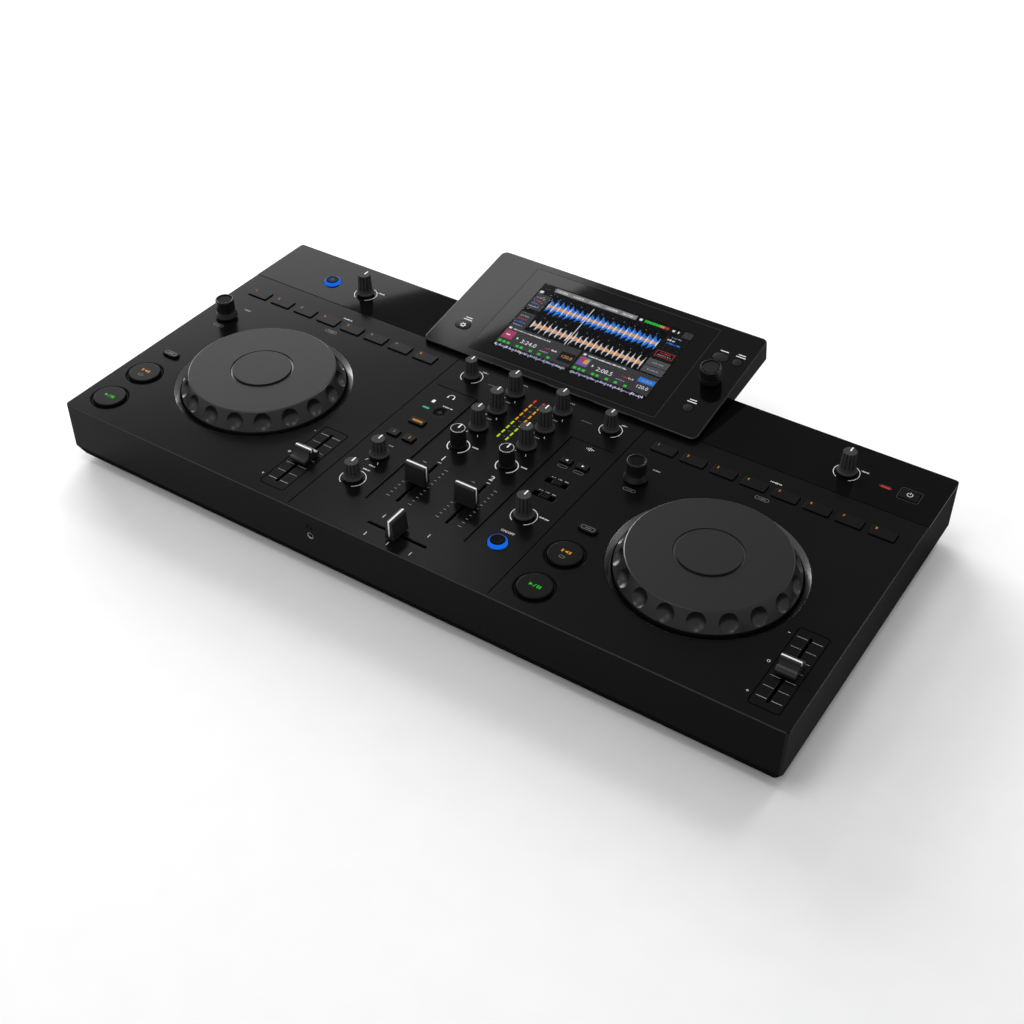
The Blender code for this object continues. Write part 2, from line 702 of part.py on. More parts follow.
def upper_case(origin):
    skin = Skin()
    shell = [
        (case_outline(TOP_EDGE), 0),
        (case_outline(0), -TOP_EDGE),
        (case_outline(0), -WALL_HEIGHT),
        (case_outline(WALL), -WALL_HEIGHT),
        (case_outline(WALL), -PANEL),
    ]
    rings = skin.column(shell, closed=False)
    top, under = [rings[0]], [rings[-1]]
    for opening in panel_openings():
        steps = [(grown(opening, amount), height) for amount, height in opening.steps]
        edges = skin.column(steps, closed=False)
        top.append(edges[0])
        under.append(edges[-1])
    for outline in groove_outlines():
        top.append(skin.column([(outline, 0), (outline, -GROOVE_DEPTH)])[0])
    for outer, inner in tempo_frames():
        line = [(outer, 0), (outer, -GROOVE_DEPTH), (inner, -GROOVE_DEPTH), (inner, 0)]
        edges = skin.column(line, closed=False)
        top += [edges[0], edges[-1]]
    for x, y in boss_places():
        outline = circle(BOSS_RADIUS, corner_segments(BOSS_RADIUS), x, y)
        boss_end = BASE_BOTTOM + BASE_FLOOR + CLEARANCE
        under.append(skin.column([(outline, -PANEL), (outline, boss_end)])[0])
    skin.cap(*top)
    skin.cap(*under)
    case = piece("upper_case", skin.done(), FINISHES["case"], origin)

    seat = STRIP_THICKNESS + CLEARANCE
    step = block(2 * HALF_WIDTH, STRIP_DEPTH, -seat, PANEL, FIELD_DEPTH + STRIP_DEPTH)
    combine(case, helper("strip_seat_cutter", step, origin), "DIFFERENCE")
    hole = rods([(0, 0)], HEADPHONE_BARREL_RADIUS + CLEARANCE, -WALL, 2 * WALL)
    place = (HEADPHONE_SOCKET_X, 0, -HEADPHONE_SOCKET_DROP)
    combine(case, helper("headphone_hole_cutter", hole, origin, place, TURNED_BACK), "DIFFERENCE")
    combine(case, helper("jack_hole_cutter", jack_holes(), origin, JACK_PLACE, TURNED_BACK), "DIFFERENCE")
    return case


def lower_case(origin):
    skin = Skin()
    floor_top = BASE_BOTTOM + BASE_FLOOR
    lip_outer = WALL + CLEARANCE
    lip_inner = lip_outer + LIP_THICKNESS
    shell = [
        (case_outline(BASE_INSET), BASE_BOTTOM),
        (case_outline(0), BASE_TOP),
        (case_outline(lip_outer), BASE_TOP),
        (case_outline(lip_outer), BASE_TOP + LIP_HEIGHT),
        (case_outline(lip_inner), BASE_TOP + LIP_HEIGHT),
        (case_outline(lip_inner), floor_top),
    ]
    rings = skin.column(shell)
    bottom = [rings[0]]
    for x in (FOOT_INSET_X - HALF_WIDTH, HALF_WIDTH - FOOT_INSET_X):
        for y in (FOOT_INSET_Y, CASE_DEPTH - FOOT_INSET_Y):
            segments = corner_segments(FOOT_RADIUS)
            head = circle(FOOT_RADIUS, segments, x, y)
            sole = circle(FOOT_RADIUS - FOOT_TAPER, segments, x, y)
            bottom.append(skin.column([(head, BASE_BOTTOM), (sole, BASE_BOTTOM - FOOT_HEIGHT)])[0])
    for x, y in boss_places():
        recess = circle(SCREW_RECESS_RADIUS, corner_segments(SCREW_RECESS_RADIUS), x, y)
        bottom.append(skin.column([(recess, BASE_BOTTOM), (recess, BASE_BOTTOM + SCREW_RECESS_DEPTH)])[0])
    skin.cap(*bottom)
    return piece("lower_case", skin.done(), FINISHES["base"], origin)


def strip_outline():
    """Square at the seam, round at the two rear corners."""
    front = FIELD_DEPTH + CLEARANCE
    rear = case_outline(0)
    back = [(x, y) for x, y in rear if y > CASE_DEPTH / 2]
    return [(-HALF_WIDTH, front), (HALF_WIDTH, front), *back]


def rear_gloss_panel(origin):
    skin = Skin()
    rings = skin.column([(strip_outline(), 0), (strip_outline(), -STRIP_THICKNESS)], closed=False)
    top, under = [rings[0]], [rings[-1]]
    plain = [shaft_hole(x, y) for _, x, y, _ in strip_knobs()]
    plain += [peg_hole(x, y) for x, y in peg_places()]
    dished = []
    for _, x, y, button in strip_buttons():
        row = dished if button is POWER_BUTTON else plain
        row.append(button_hole(x, y, button))
    for opening in plain + dished:
        edge = grown(opening, 0)
        steps = [(edge, 0), (edge, -STRIP_THICKNESS)]
        if opening in dished:
            steps[:1] = [(grown(opening, POWER_DISH), 0), (edge, -POWER_DISH_DEPTH)]
        edges = skin.column(steps, closed=False)
        top.append(edges[0])
        under.append(edges[-1])
    skin.cap(*top)
    skin.cap(*under)
    return piece("rear_gloss_panel", skin.done(), FINISHES["gloss"], origin)


# Boards


def component(skin, x, y, half_x, half_y, well, well_segments):
    """A part soldered on the board, with a well for the shaft or lever that works it."""
    body = rounded_outline(half_x, half_y, POT_CORNER, 1, x, y)
    sides = skin.column([(body, BOARD_TOP), (body, POT_TOP)], closed=False)
    shaft = rounded_outline(*well, well_segments, x, y)
    mouth = skin.column([(shaft, POT_TOP), (shaft, POT_FLOOR)])
    skin.cap(sides[-1], mouth[0])
    return sides[0]


def control_board(origin):
    skin = Skin()
    side = HALF_WIDTH - BOARD_SIDE_MARGIN
    rear = CASE_DEPTH - BOARD_REAR_MARGIN
    half_y = (rear - BOARD_FRONT_MARGIN) / 2
    outline = rounded_outline(side, half_y, CORNER_RADIUS, 1, 0, rear - half_y)
    rings = skin.column([(outline, BOARD_TOP), (outline, BOARD_TOP - BOARD_THICKNESS)], closed=False)
    top, under = [rings[0]], [rings[-1]]
    holes = [(sign * DECK_X, JOG_Y, WELL_RADIUS + WALL + BOARD_WELL_MARGIN) for _, sign in SIDES]
    crossing = [(x, y) for x, y in boss_places() if abs(x) < side and y < rear]
    holes += [(x, y, BOSS_RADIUS + CLEARANCE) for x, y in crossing]
    for x, y, radius in holes:
        edge = circle(radius, corner_segments(radius), x, y)
        edges = skin.column([(edge, BOARD_TOP), (edge, BOARD_TOP - BOARD_THICKNESS)], closed=False)
        top.append(edges[0])
        under.append(edges[-1])
    bore = SHAFT_RADIUS + CLEARANCE
    for _, x, y, _ in (*panel_knobs(), *strip_knobs()):
        top.append(component(skin, x, y, POT_HALF, POT_HALF, (bore, bore, bore), SHAFT_SEGMENTS))
    for _, x, y in loop_encoders():
        wide = bore + FLANGE
        half = POT_HALF + FLANGE
        top.append(component(skin, x, y, half, half, (wide, wide, wide), SHAFT_SEGMENTS))
    for _, x, y, travel_x, travel_y in faders():
        slot = fader_slot(x, y, travel_x, travel_y)
        half_x = slot.half_x + SLIDE_POT_END if travel_x else SLIDE_POT_HALF
        half_y = slot.half_y + SLIDE_POT_END if travel_y else SLIDE_POT_HALF
        top.append(component(skin, x, y, half_x, half_y, (slot.half_x, slot.half_y, POT_CORNER), 1))
    skin.cap(*top)
    skin.cap(*under)
    return piece("control_board", skin.done(), FINISHES["board"], origin)


# Sockets, built along their own axis and turned to face the front or the back

TURNED_BACK = (-math.pi / 2, 0, 0)
TURNED_FRONT = (math.pi / 2, 0, 0)
JACK_BOARD_Y = CASE_DEPTH - WALL - JACK_BOARD_STANDOFF
JACK_PLACE = (HALF_WIDTH, JACK_BOARD_Y, -JACK_DROP)


def jack_holes():
    """Cutters for the rear wall, in the jack board's own frame: z points out of the back."""
    skin = Skin()
    low = JACK_BOARD_STANDOFF - WALL
    high = JACK_BOARD_STANDOFF + 2 * WALL
    phono = PHONO_BARREL_RADIUS + CLEARANCE
    mini = MINI_JACK_RADIUS + CLEARANCE
    outlines = [circle(phono, corner_segments(phono), -inset) for inset in PHONO_INSETS]
    outlines.append(circle(mini, corner_segments(mini), -MINI_JACK_INSET))
    room = CLEARANCE
    usb = (USB_HALF_X + room, USB_HALF_Z + room, USB_CORNER + room)
    outlines.append(rounded_outline(*usb, 2, -USB_INSET))
    for outline in outlines:
        rings = skin.column([(outline, low), (outline, high)])
        skin.cap(rings[0])
    return skin.done()


def jack_board(origin):
    skin = Skin()
    left = MINI_JACK_INSET + JACK_BOARD_MARGIN
    right = USB_INSET - JACK_BOARD_MARGIN
    middle = -(left + right) / 2
    outline = rectangle((left - right) / 2, JACK_BOARD_HALF_HEIGHT, middle)
    rings = skin.column([(outline, -BOARD_THICKNESS), (outline, 0)], closed=False)
    skin.cap(rings[0])
    face = [rings[-1]]
    outside = JACK_BOARD_STANDOFF + WALL
    shoulder = JACK_BOARD_STANDOFF - CLEARANCE
    for inset in PHONO_INSETS:
        body = rectangle(PHONO_BODY_HALF, PHONO_BODY_HALF, -inset)
        sides = skin.column([(body, 0), (body, shoulder)], closed=False)
        segments = corner_segments(PHONO_BARREL_RADIUS)
        barrel = circle(PHONO_BARREL_RADIUS, segments, -inset)
        bore = circle(PHONO_BORE_RADIUS, segments, -inset)
        tip = outside + PHONO_BARREL_LENGTH
        row = [(barrel, shoulder), (barrel, tip), (bore, tip), (bore, tip - PHONO_BORE_DEPTH)]
        skin.cap(sides[-1], skin.column(row)[0])
        face.append(sides[0])
    segments = corner_segments(MINI_JACK_RADIUS)
    barrel = circle(MINI_JACK_RADIUS, segments, -MINI_JACK_INSET)
    bore = circle(PLUG_BORE_RADIUS, segments, -MINI_JACK_INSET)
    face.append(skin.column([(barrel, 0), (barrel, outside), (bore, outside), (bore, CLEARANCE)])[0])
    shell = rounded_outline(USB_HALF_X, USB_HALF_Z, USB_CORNER, 2, -USB_INSET)
    inner = (USB_HALF_X - USB_SHELL, USB_HALF_Z - USB_SHELL, USB_CORNER - USB_SHELL)
    mouth = rounded_outline(*inner, 2, -USB_INSET)
    row = [(shell, 0), (shell, outside), (mouth, outside), (mouth, outside - USB_DEPTH)]
    face.append(skin.column(row)[0])
    skin.cap(*face)
    return piece("jack_board", skin.done(), FINISHES["socket"], origin, JACK_PLACE, TURNED_BACK)


def headphone_socket(origin):
    profile = [
        (0, -HEADPHONE_BODY_LENGTH - WALL),
        (HEADPHONE_BODY_RADIUS, -HEADPHONE_BODY_LENGTH - WALL),
        (HEADPHONE_BODY_RADIUS, -WALL - CLEARANCE),
        (HEADPHONE_BARREL_RADIUS, -WALL - CLEARANCE),
        (HEADPHONE_BARREL_RADIUS, 0),
        (PLUG_BORE_RADIUS, 0),
        (PLUG_BORE_RADIUS, -PLUG_BORE_DEPTH),
        (0, -PLUG_BORE_DEPTH),
    ]
    place = (HEADPHONE_SOCKET_X, 0, -HEADPHONE_SOCKET_DROP)
    mesh = turned(profile, 4 * corner_segments(HEADPHONE_BARREL_RADIUS))
    return piece("headphone_socket", mesh, FINISHES["socket"], origin, place, TURNED_FRONT)


# Jog wheels


def dimple_cutters():
    """Balls round the rim, each turned so that its pole points at the wheel's cone."""
    run = JOG_CONE
    drop = JOG_HEIGHT - JOG_EDGE - JOG_CONE_FOOT
    lean = math.atan2(run, drop)
    ball = (DIMPLE_RADIUS**2 + DIMPLE_DEPTH**2) / (2 * DIMPLE_DEPTH)
    reach = ball - DIMPLE_DEPTH
    radius = JOG_RADIUS - run / 2 + reach * math.cos(lean)
    height = JOG_CONE_FOOT + drop / 2 + reach * math.sin(lean)
    mesh = bmesh.new()
    for index in range(DIMPLE_COUNT):
        ball_mesh = bmesh.ops.create_uvsphere(
            mesh, u_segments=DIMPLE_SEGMENTS, v_segments=DIMPLE_RINGS, radius=ball
        )
        verts = ball_mesh["verts"]
        turn_out = Matrix.Rotation(math.pi / 2 - lean, 4, "Y")
        turn_round = Matrix.Rotation(index * math.tau / DIMPLE_COUNT - math.pi / 2, 4, "Z")
        bmesh.ops.transform(mesh, matrix=turn_out, verts=verts)
        bmesh.ops.translate(mesh, vec=(radius, 0, height), verts=verts)
        bmesh.ops.transform(mesh, matrix=turn_round, verts=verts)
    return mesh


def jog_wheel(side, x, origin):
    inner_foot = JOG_RADIUS - JOG_SKIRT
    inner_top = JOG_TOP_RADIUS - JOG_SKIRT
    skirt_end = -WELL_DEPTH + JOG_FLOOR_GAP
    seat = -WELL_DEPTH + CLEARANCE
    roof = JOG_HEIGHT - JOG_DISC
    spindle_end = -WELL_DEPTH - WELL_FLOOR - BUSH_LENGTH
    half_groove = JOG_GROOVE_WIDTH / 2
    profile = [
        (0, JOG_HEIGHT),
        (JOG_GROOVE_RADIUS - half_groove, JOG_HEIGHT),
        (JOG_GROOVE_RADIUS - half_groove, JOG_HEIGHT - JOG_GROOVE_DEPTH),
        (JOG_GROOVE_RADIUS + half_groove, JOG_HEIGHT - JOG_GROOVE_DEPTH),
        (JOG_GROOVE_RADIUS + half_groove, JOG_HEIGHT),
        (JOG_TOP_RADIUS - JOG_EDGE, JOG_HEIGHT),
        (JOG_TOP_RADIUS, JOG_HEIGHT - JOG_EDGE),
        (JOG_RADIUS, JOG_CONE_FOOT),
        (JOG_RADIUS, skirt_end),
        (inner_foot, skirt_end),
        (inner_top, roof),
        (JOG_HUB_RADIUS, roof),
        (JOG_HUB_RADIUS, seat),
        (SPINDLE_RADIUS, seat),
        (SPINDLE_RADIUS, spindle_end),
        (0, spindle_end),
    ]
    place = (x, JOG_Y, 0)
    wheel = piece(f"jog_wheel_{side}", turned(profile, JOG_SEGMENTS), FINISHES["jog"], origin, place)
    combine(wheel, helper(f"dimple_cutter_{side}", dimple_cutters(), origin, place), "DIFFERENCE")
    return wheel


# Knobs and encoders


def fluted_outline(radius, depth, flutes):
    """A round outline with a point on each ridge and one in each flute."""
    outline = []
    for index in range(2 * flutes):
        angle = index * math.pi / flutes
        reach = radius - depth * (index % 2)
        outline.append((reach * math.cos(angle), reach * math.sin(angle)))
    return outline


def knob(name, kind, origin, x, y):
    """A fluted grip on a flared collar, with the shaft that goes down into its pot."""
    skin = Skin()
    grip_foot = kind.collar_height + kind.collar - kind.grip
    shaft = circle(SHAFT_RADIUS, SHAFT_SEGMENTS)
    rings = skin.column(
        [
            (fluted_outline(kind.collar, 0, kind.flutes), KNOB_FLOAT),
            (fluted_outline(kind.collar, 0, kind.flutes), kind.collar_height),
            (fluted_outline(kind.grip, kind.flute_depth, kind.flutes), grip_foot),
            (fluted_outline(kind.top, kind.flute_depth, kind.flutes), kind.height),
        ]
    )
    stem = skin.column([(shaft, KNOB_FLOAT), (shaft, SHAFT_END)])
    skin.cap(rings[0], stem[0])
    return piece(name, skin.done(), FINISHES["knob"], origin, (x, y, 0))


def encoder_knob(name, height, parent, place):
    """A cap with a dished top, waisted foot and a bore for its shaft."""
    bore = SHAFT_RADIUS + CLEARANCE
    profile = [
        (0, height - ENCODER_DISH_DEPTH),
        (ENCODER_DISH_RADIUS, height - ENCODER_DISH_DEPTH),
        (ENCODER_DISH_RADIUS, height),
        (ENCODER_RIM_RADIUS, height),
        (ENCODER_RADIUS, height - ENCODER_SHOULDER),
        (ENCODER_RADIUS, ENCODER_FOOT_HEIGHT),
        (ENCODER_FOOT_RADIUS, ENCODER_FLOAT),
        (bore, ENCODER_FLOAT),
        (bore, height - ENCODER_BORE_ROOF),
        (0, height - ENCODER_BORE_ROOF),
    ]
    return piece(name, turned(profile, ENCODER_SEGMENTS), FINISHES["knob"], parent, place)


def encoder_shaft(name, height, collar, end, parent, place):
    """The shaft that an encoder cap turns on, with a collar under the panel if there is one."""
    top = height - ENCODER_BORE_ROOF - CLEARANCE
    profile = [(0, top), (SHAFT_RADIUS, top)]
    if collar:
        profile += [
            (SHAFT_RADIUS, FLANGE_TOP),
            (SHAFT_RADIUS + FLANGE, FLANGE_TOP),
            (SHAFT_RADIUS + FLANGE, FLANGE_BOTTOM),
            (SHAFT_RADIUS, FLANGE_BOTTOM),
        ]
    profile += [(SHAFT_RADIUS, end), (0, end)]
    return piece(name, turned(profile, 4 * SHAFT_SEGMENTS), FINISHES["metal"], parent, place)


# Faders and switches


def mixer_fader(name, origin, x, y, along_x):
    """A tall waisted cap with a crowned top, on a lever that goes down through the slot."""
    half = FADER_CAP_WIDTH / 2
    levels = [
        (FADER_CAP_LENGTH, FADER_FLOAT),
        (FADER_CAP_WAIST_LENGTH, FADER_FLOAT + FADER_CAP_HEIGHT / 2),
        (FADER_CAP_TOP_LENGTH, FADER_FLOAT + FADER_CAP_HEIGHT - FADER_CAP_CROWN),
        (FADER_CAP_RIDGE, FADER_FLOAT + FADER_CAP_HEIGHT),
    ]
    skin = Skin()
    outlines = []
    for length, height in levels:
        sizes = (length / 2, half) if along_x else (half, length / 2)
        outlines.append((rounded_outline(*sizes, FADER_CAP_CORNER, 1), height))
    rings = skin.column(outlines)
    sizes = (LEVER_LENGTH / 2, LEVER_HALF) if along_x else (LEVER_HALF, LEVER_LENGTH / 2)
    lever = rounded_outline(*sizes, POT_CORNER, 1)
    stem = skin.column([(lever, FADER_FLOAT), (lever, SHAFT_END)])
    skin.cap(rings[0], stem[0])
    return piece(name, skin.done(), FINISHES["knob"], origin, (x, y, 0))


def tempo_fader(name, origin, x, y):
    """A low cap drawn along x from its side outline: two lips, two hollow slopes and a ridge."""
    half_length = TEMPO_CAP_LENGTH / 2
    top = FADER_FLOAT + TEMPO_CAP_HEIGHT
    lip = FADER_FLOAT + TEMPO_LIP_HEIGHT
    half_side = [
        (half_length, FADER_FLOAT),
        (half_length, lip - TEMPO_EDGE),
        (half_length - TEMPO_EDGE, lip),
        (half_length - TEMPO_LIP_LENGTH, lip),
        (TEMPO_RIDGE / 2 + TEMPO_EDGE, top - TEMPO_LIP_LENGTH),
        (TEMPO_RIDGE / 2, top),
    ]
    outline = half_side + [(-along, height) for along, height in reversed(half_side)]
    skin = Skin()
    half_width = TEMPO_CAP_WIDTH / 2
    rings = skin.column([(outline, -half_width), (outline, half_width)])
    skin.cap(rings[0])
    mesh = skin.done()
    axes_turned = Matrix.Rotation(math.pi / 2, 4, "Z") @ Matrix.Rotation(math.pi / 2, 4, "X")
    bmesh.ops.transform(mesh, matrix=axes_turned, verts=mesh.verts)
    cap = piece(name, mesh, FINISHES["knob"], origin, (x, y, 0))
    lever = block(LEVER_HALF, LEVER_LENGTH / 2, SHAFT_END, FADER_FLOAT + TEMPO_EDGE)
    combine(cap, helper(f"{name}_lever", lever, origin, (x, y, 0)), "UNION")
    return cap


def slide_switch(name, origin, x, y):
    """A small lever in its slot, on a foot wider than the slot."""
    skin = Skin()
    lever_y = SWITCH_SLOT_HALF_Y - CLEARANCE
    edge = BUTTON_EDGE
    lever = rounded_outline(SWITCH_LEVER_HALF_X, lever_y, SWITCH_SLOT_CORNER, 1)
    crest = rounded_outline(SWITCH_LEVER_HALF_X - edge, lever_y - edge, SWITCH_SLOT_CORNER, 1)
    foot = rounded_outline(SWITCH_LEVER_HALF_X, lever_y + FLANGE, SWITCH_SLOT_CORNER, 1)
    rows = [
        (foot, FLANGE_BOTTOM),
        (foot, FLANGE_TOP),
        (lever, FLANGE_TOP),
        (lever, SWITCH_RISE - edge),
        (crest, SWITCH_RISE),
    ]
    rings = skin.column(rows)
    skin.cap(rings[0])
    return piece(name, skin.done(), FINISHES["knob"], origin, (x, y, 0))


# Buttons


def cap_outline(button, amount):
    segments = corner_segments(button.corner)
    corner = max(button.corner + amount, WELD)
    return rounded_outline(button.half_x + amount, button.half_y + amount, corner, segments)


def panel_button(name, button, finish, origin, x, y):
    """A cap in its hole, a flange under the panel and a stem down to its switch."""
    edge = DECK_BUTTON_EDGE if button is DECK_BUTTON else BUTTON_EDGE
    narrow = LIT_BUTTON_TOP_RADIUS - LIT_BUTTON.half_x if button is LIT_BUTTON else -edge
    shoulder = 0 if button is LIT_BUTTON else button.rise - edge
    skin = Skin()
    rings = skin.column(
        [
            (cap_outline(button, FLANGE), FLANGE_BOTTOM),
            (cap_outline(button, FLANGE), FLANGE_TOP),
            (cap_outline(button, 0), FLANGE_TOP),
            (cap_outline(button, 0), shoulder),
            (cap_outline(button, narrow), button.rise),
        ]
    )
    stem = circle(STEM_RADIUS, SHAFT_SEGMENTS)
    foot = skin.column([(stem, FLANGE_BOTTOM), (stem, STEM_END)])
    skin.cap(rings[0], foot[0])
    return piece(name, skin.done(), finish, origin, (x, y, 0))


def display_key(name, button, parent, x, row):
    """A flat key in a blind pocket of the display housing."""
    skin = Skin()
    rings = skin.column(
        [
            (cap_outline(button, 0), -KEY_DEPTH),
            (cap_outline(button, 0), 0),
            (cap_outline(button, -button.rise), button.rise),
        ]
    )
    skin.cap(rings[0])
    return piece(name, skin.done(), FINISHES["gloss"], parent, (x, row, 0))


def pad_bank(side, x, origin):
    """Eight pads moulded on one carrier that lies under the panel."""
    skin = Skin()
    half_x = (PAD_COUNT - 1) / 2 * PAD_PITCH + PAD.half_x + PAD_STRIP_OVERHANG
    carrier = rounded_outline(half_x, PAD.half_y + PAD_STRIP_OVERHANG, PAD.corner, 1)
    rings = skin.column([(carrier, FLANGE_BOTTOM), (carrier, FLANGE_TOP)], closed=False)
    skin.cap(rings[0])
    face = [rings[1]]
    for pad_x in pad_places():
        foot = [(pad_x + px, py) for px, py in cap_outline(PAD, 0)]
        crest = [(pad_x + px, py) for px, py in cap_outline(PAD, -BUTTON_EDGE)]
        face.append(skin.column([(foot, FLANGE_TOP), (foot, PAD.rise - BUTTON_EDGE), (crest, PAD.rise)])[0])
    skin.cap(*face)
    return piece(f"pad_bank_{side}", skin.done(), FINISHES["pad"], origin, (x, PAD_Y, 0))


# Display


def display_keys():
    """Name, place along the sloping top and kind of every key on the display."""
    yield "mixer_settings_key", -GLASS_EDGE - KEY_GAP, KEY_ROW, OVAL_KEY
    yield "deck_settings_key", GLASS_EDGE + KEY_GAP, KEY_ROW, ROUND_KEY
    yield "back_key", GLASS_EDGE + BACK_KEY_GAP, REAR_KEY_ROW, OVAL_KEY
    yield "tag_key", GLASS_EDGE + TAG_KEY_GAP, REAR_KEY_ROW, ROUND_KEY


def display_pockets():
    """Cutters for the housing's sloping top: glass, screen, keys and the browse shaft."""
    skin = Skin()
    row = DISPLAY_LENGTH / 2
    room = CLEARANCE
    glass = rounded_outline(GLASS_WIDTH / 2 + room, GLASS_LENGTH / 2 + room, GLASS_CORNER + room, 1, 0, row)
    screen = rounded_outline(SCREEN_WIDTH / 2 + room, SCREEN_LENGTH / 2 + room, POT_CORNER, 1, 0, row)
    glass_floor = -GLASS_THICKNESS - room
    screen_floor = glass_floor - SCREEN_THICKNESS - room
    rings = skin.column([(glass, PANEL), (glass, glass_floor)], closed=False)
    skin.cap(rings[0])
    skin.cap(rings[1], skin.column([(screen, glass_floor), (screen, screen_floor)])[0])
    for _, x, key_row, button in display_keys():
        outline = [(x + px, key_row + py) for px, py in cap_outline(button, room)]
        rings = skin.column([(outline, PANEL), (outline, -KEY_DEPTH - button.travel - room)])
        skin.cap(rings[0])
    shaft = circle(SHAFT_RADIUS + room, SHAFT_SEGMENTS, GLASS_EDGE + BROWSE_GAP, BROWSE_ROW)
    depth = BROWSE_SHAFT_DEPTH + ENCODER_TRAVEL + room
    rings = skin.column([(shaft, PANEL), (shaft, -depth)])
    skin.cap(rings[0])
    return skin.done()


def display_housing(origin, slope):
    """A wedge drawn along x from its side outline, with round corners seen from above."""
    rear_top = DISPLAY_LIP + DISPLAY_LENGTH * math.sin(DISPLAY_TILT)
    rear_bottom = rear_top - DISPLAY_REAR_HEIGHT * math.cos(DISPLAY_TILT)
    outline = [
        (DISPLAY_FRONT, CLEARANCE),
        (DISPLAY_FRONT + DISPLAY_REST, CLEARANCE),
        (OVERALL_DEPTH, rear_bottom),
        (DISPLAY_REAR_TOP, rear_top),
        (DISPLAY_FRONT, DISPLAY_LIP),
    ]
    skin = Skin()
    rings = skin.column([(outline, -DISPLAY_WIDTH / 2), (outline, DISPLAY_WIDTH / 2)])
    skin.cap(rings[0])
    mesh = skin.done()
    axes_turned = Matrix.Rotation(math.pi / 2, 4, "Z") @ Matrix.Rotation(math.pi / 2, 4, "X")
    bmesh.ops.transform(mesh, matrix=axes_turned, verts=mesh.verts)
    bmesh.ops.dissolve_limit(mesh, angle_limit=math.radians(1), verts=mesh.verts, edges=mesh.edges)
    corners = [edge for edge in mesh.edges if is_upright_corner(edge)]
    bmesh.ops.bevel(
        mesh,
        geom=corners,
        offset=DISPLAY_CORNER,
        segments=4,
        profile=0.5,
        affect="EDGES",
        material=-1,
    )
    housing = piece("display_housing", mesh, FINISHES["display"], origin)
    pegs = rods(peg_places(), PEG_RADIUS, -PANEL, 2 * CLEARANCE)
    combine(housing, helper("display_pegs", pegs, origin), "UNION")
    combine(housing, helper("display_pocket_cutter", display_pockets(), slope), "DIFFERENCE")
    return housing


def is_upright_corner(edge):
    """True for the four short edges where the housing's ends meet its front and its back."""
    first, second = (vert.co for vert in edge.verts)
    same_x = abs(first.x - second.x) < WELD
    outer_y = min(first.y, second.y) > DISPLAY_FRONT + DISPLAY_LENGTH / 2
    front_y = max(first.y, second.y) < DISPLAY_FRONT + WELD
    rear_y = outer_y and abs(first.y - second.y) < DISPLAY_REAR_HEIGHT
    return same_x and (front_y or rear_y)


def display_glass(slope):
    skin = Skin()
    outline = rounded_outline(GLASS_WIDTH / 2, GLASS_LENGTH / 2, GLASS_CORNER, 1)
    rings = skin.column([(outline, -GLASS_THICKNESS), (outline, 0)])
    skin.cap(rings[0])
    return piece("display_glass", skin.done(), FINISHES["glass"], slope, (0, DISPLAY_LENGTH / 2, 0))


def lcd_screen(slope):
    skin = Skin()
    outline = rounded_outline(SCREEN_WIDTH / 2, SCREEN_LENGTH / 2, POT_CORNER, 1)
    top = -GLASS_THICKNESS - CLEARANCE
    rings = skin.column([(outline, top - SCREEN_THICKNESS), (outline, top)])
    skin.cap(rings[0])
    return piece("lcd_screen", skin.done(), FINISHES["screen"], slope, (0, DISPLAY_LENGTH / 2, 0))


# Finishes: colour, roughness and how metallic each one is

clear_scene()

FINISHES = {
    "case": material("case", (0.018, 0.018, 0.019), 0.55),
    "base": material("base", (0.012, 0.012, 0.013), 0.6),
    "gloss": material("gloss", (0.008, 0.008, 0.009), 0.12),
    "board": material("board", (0.02, 0.06, 0.03), 0.5),
    "socket": material("socket", (0.03, 0.03, 0.03), 0.4),
    "metal": material("metal", (0.55, 0.55, 0.57), 0.3, 1.0),
    "jog": material("jog", (0.035, 0.036, 0.038), 0.45),
    "knob": material("knob", (0.015, 0.015, 0.016), 0.5),
    "button": material("button", (0.03, 0.03, 0.032), 0.4),
    "pad": material("pad", (0.05, 0.05, 0.052), 0.6),
    "display": material("display", (0.016, 0.016, 0.017), 0.45),
    "glass": material("glass", (0.006, 0.006, 0.008), 0.06),
    "screen": material("screen", (0.03, 0.05, 0.08), 0.3),
}

panel_origin = frame_empty("panel_origin", (0, -OVERALL_DEPTH / 2, PANEL_HEIGHT))
slope_place = (0, DISPLAY_FRONT, DISPLAY_LIP)
display_slope = frame_empty("display_slope", slope_place, (DISPLAY_TILT, 0, 0), panel_origin)

upper_case(panel_origin)
lower_case(panel_origin)
rear_gloss_panel(panel_origin)
control_board(panel_origin)
jack_board(panel_origin)
headphone_socket(panel_origin)
display_housing(panel_origin, display_slope)
display_glass(display_slope)
lcd_screen(display_slope)

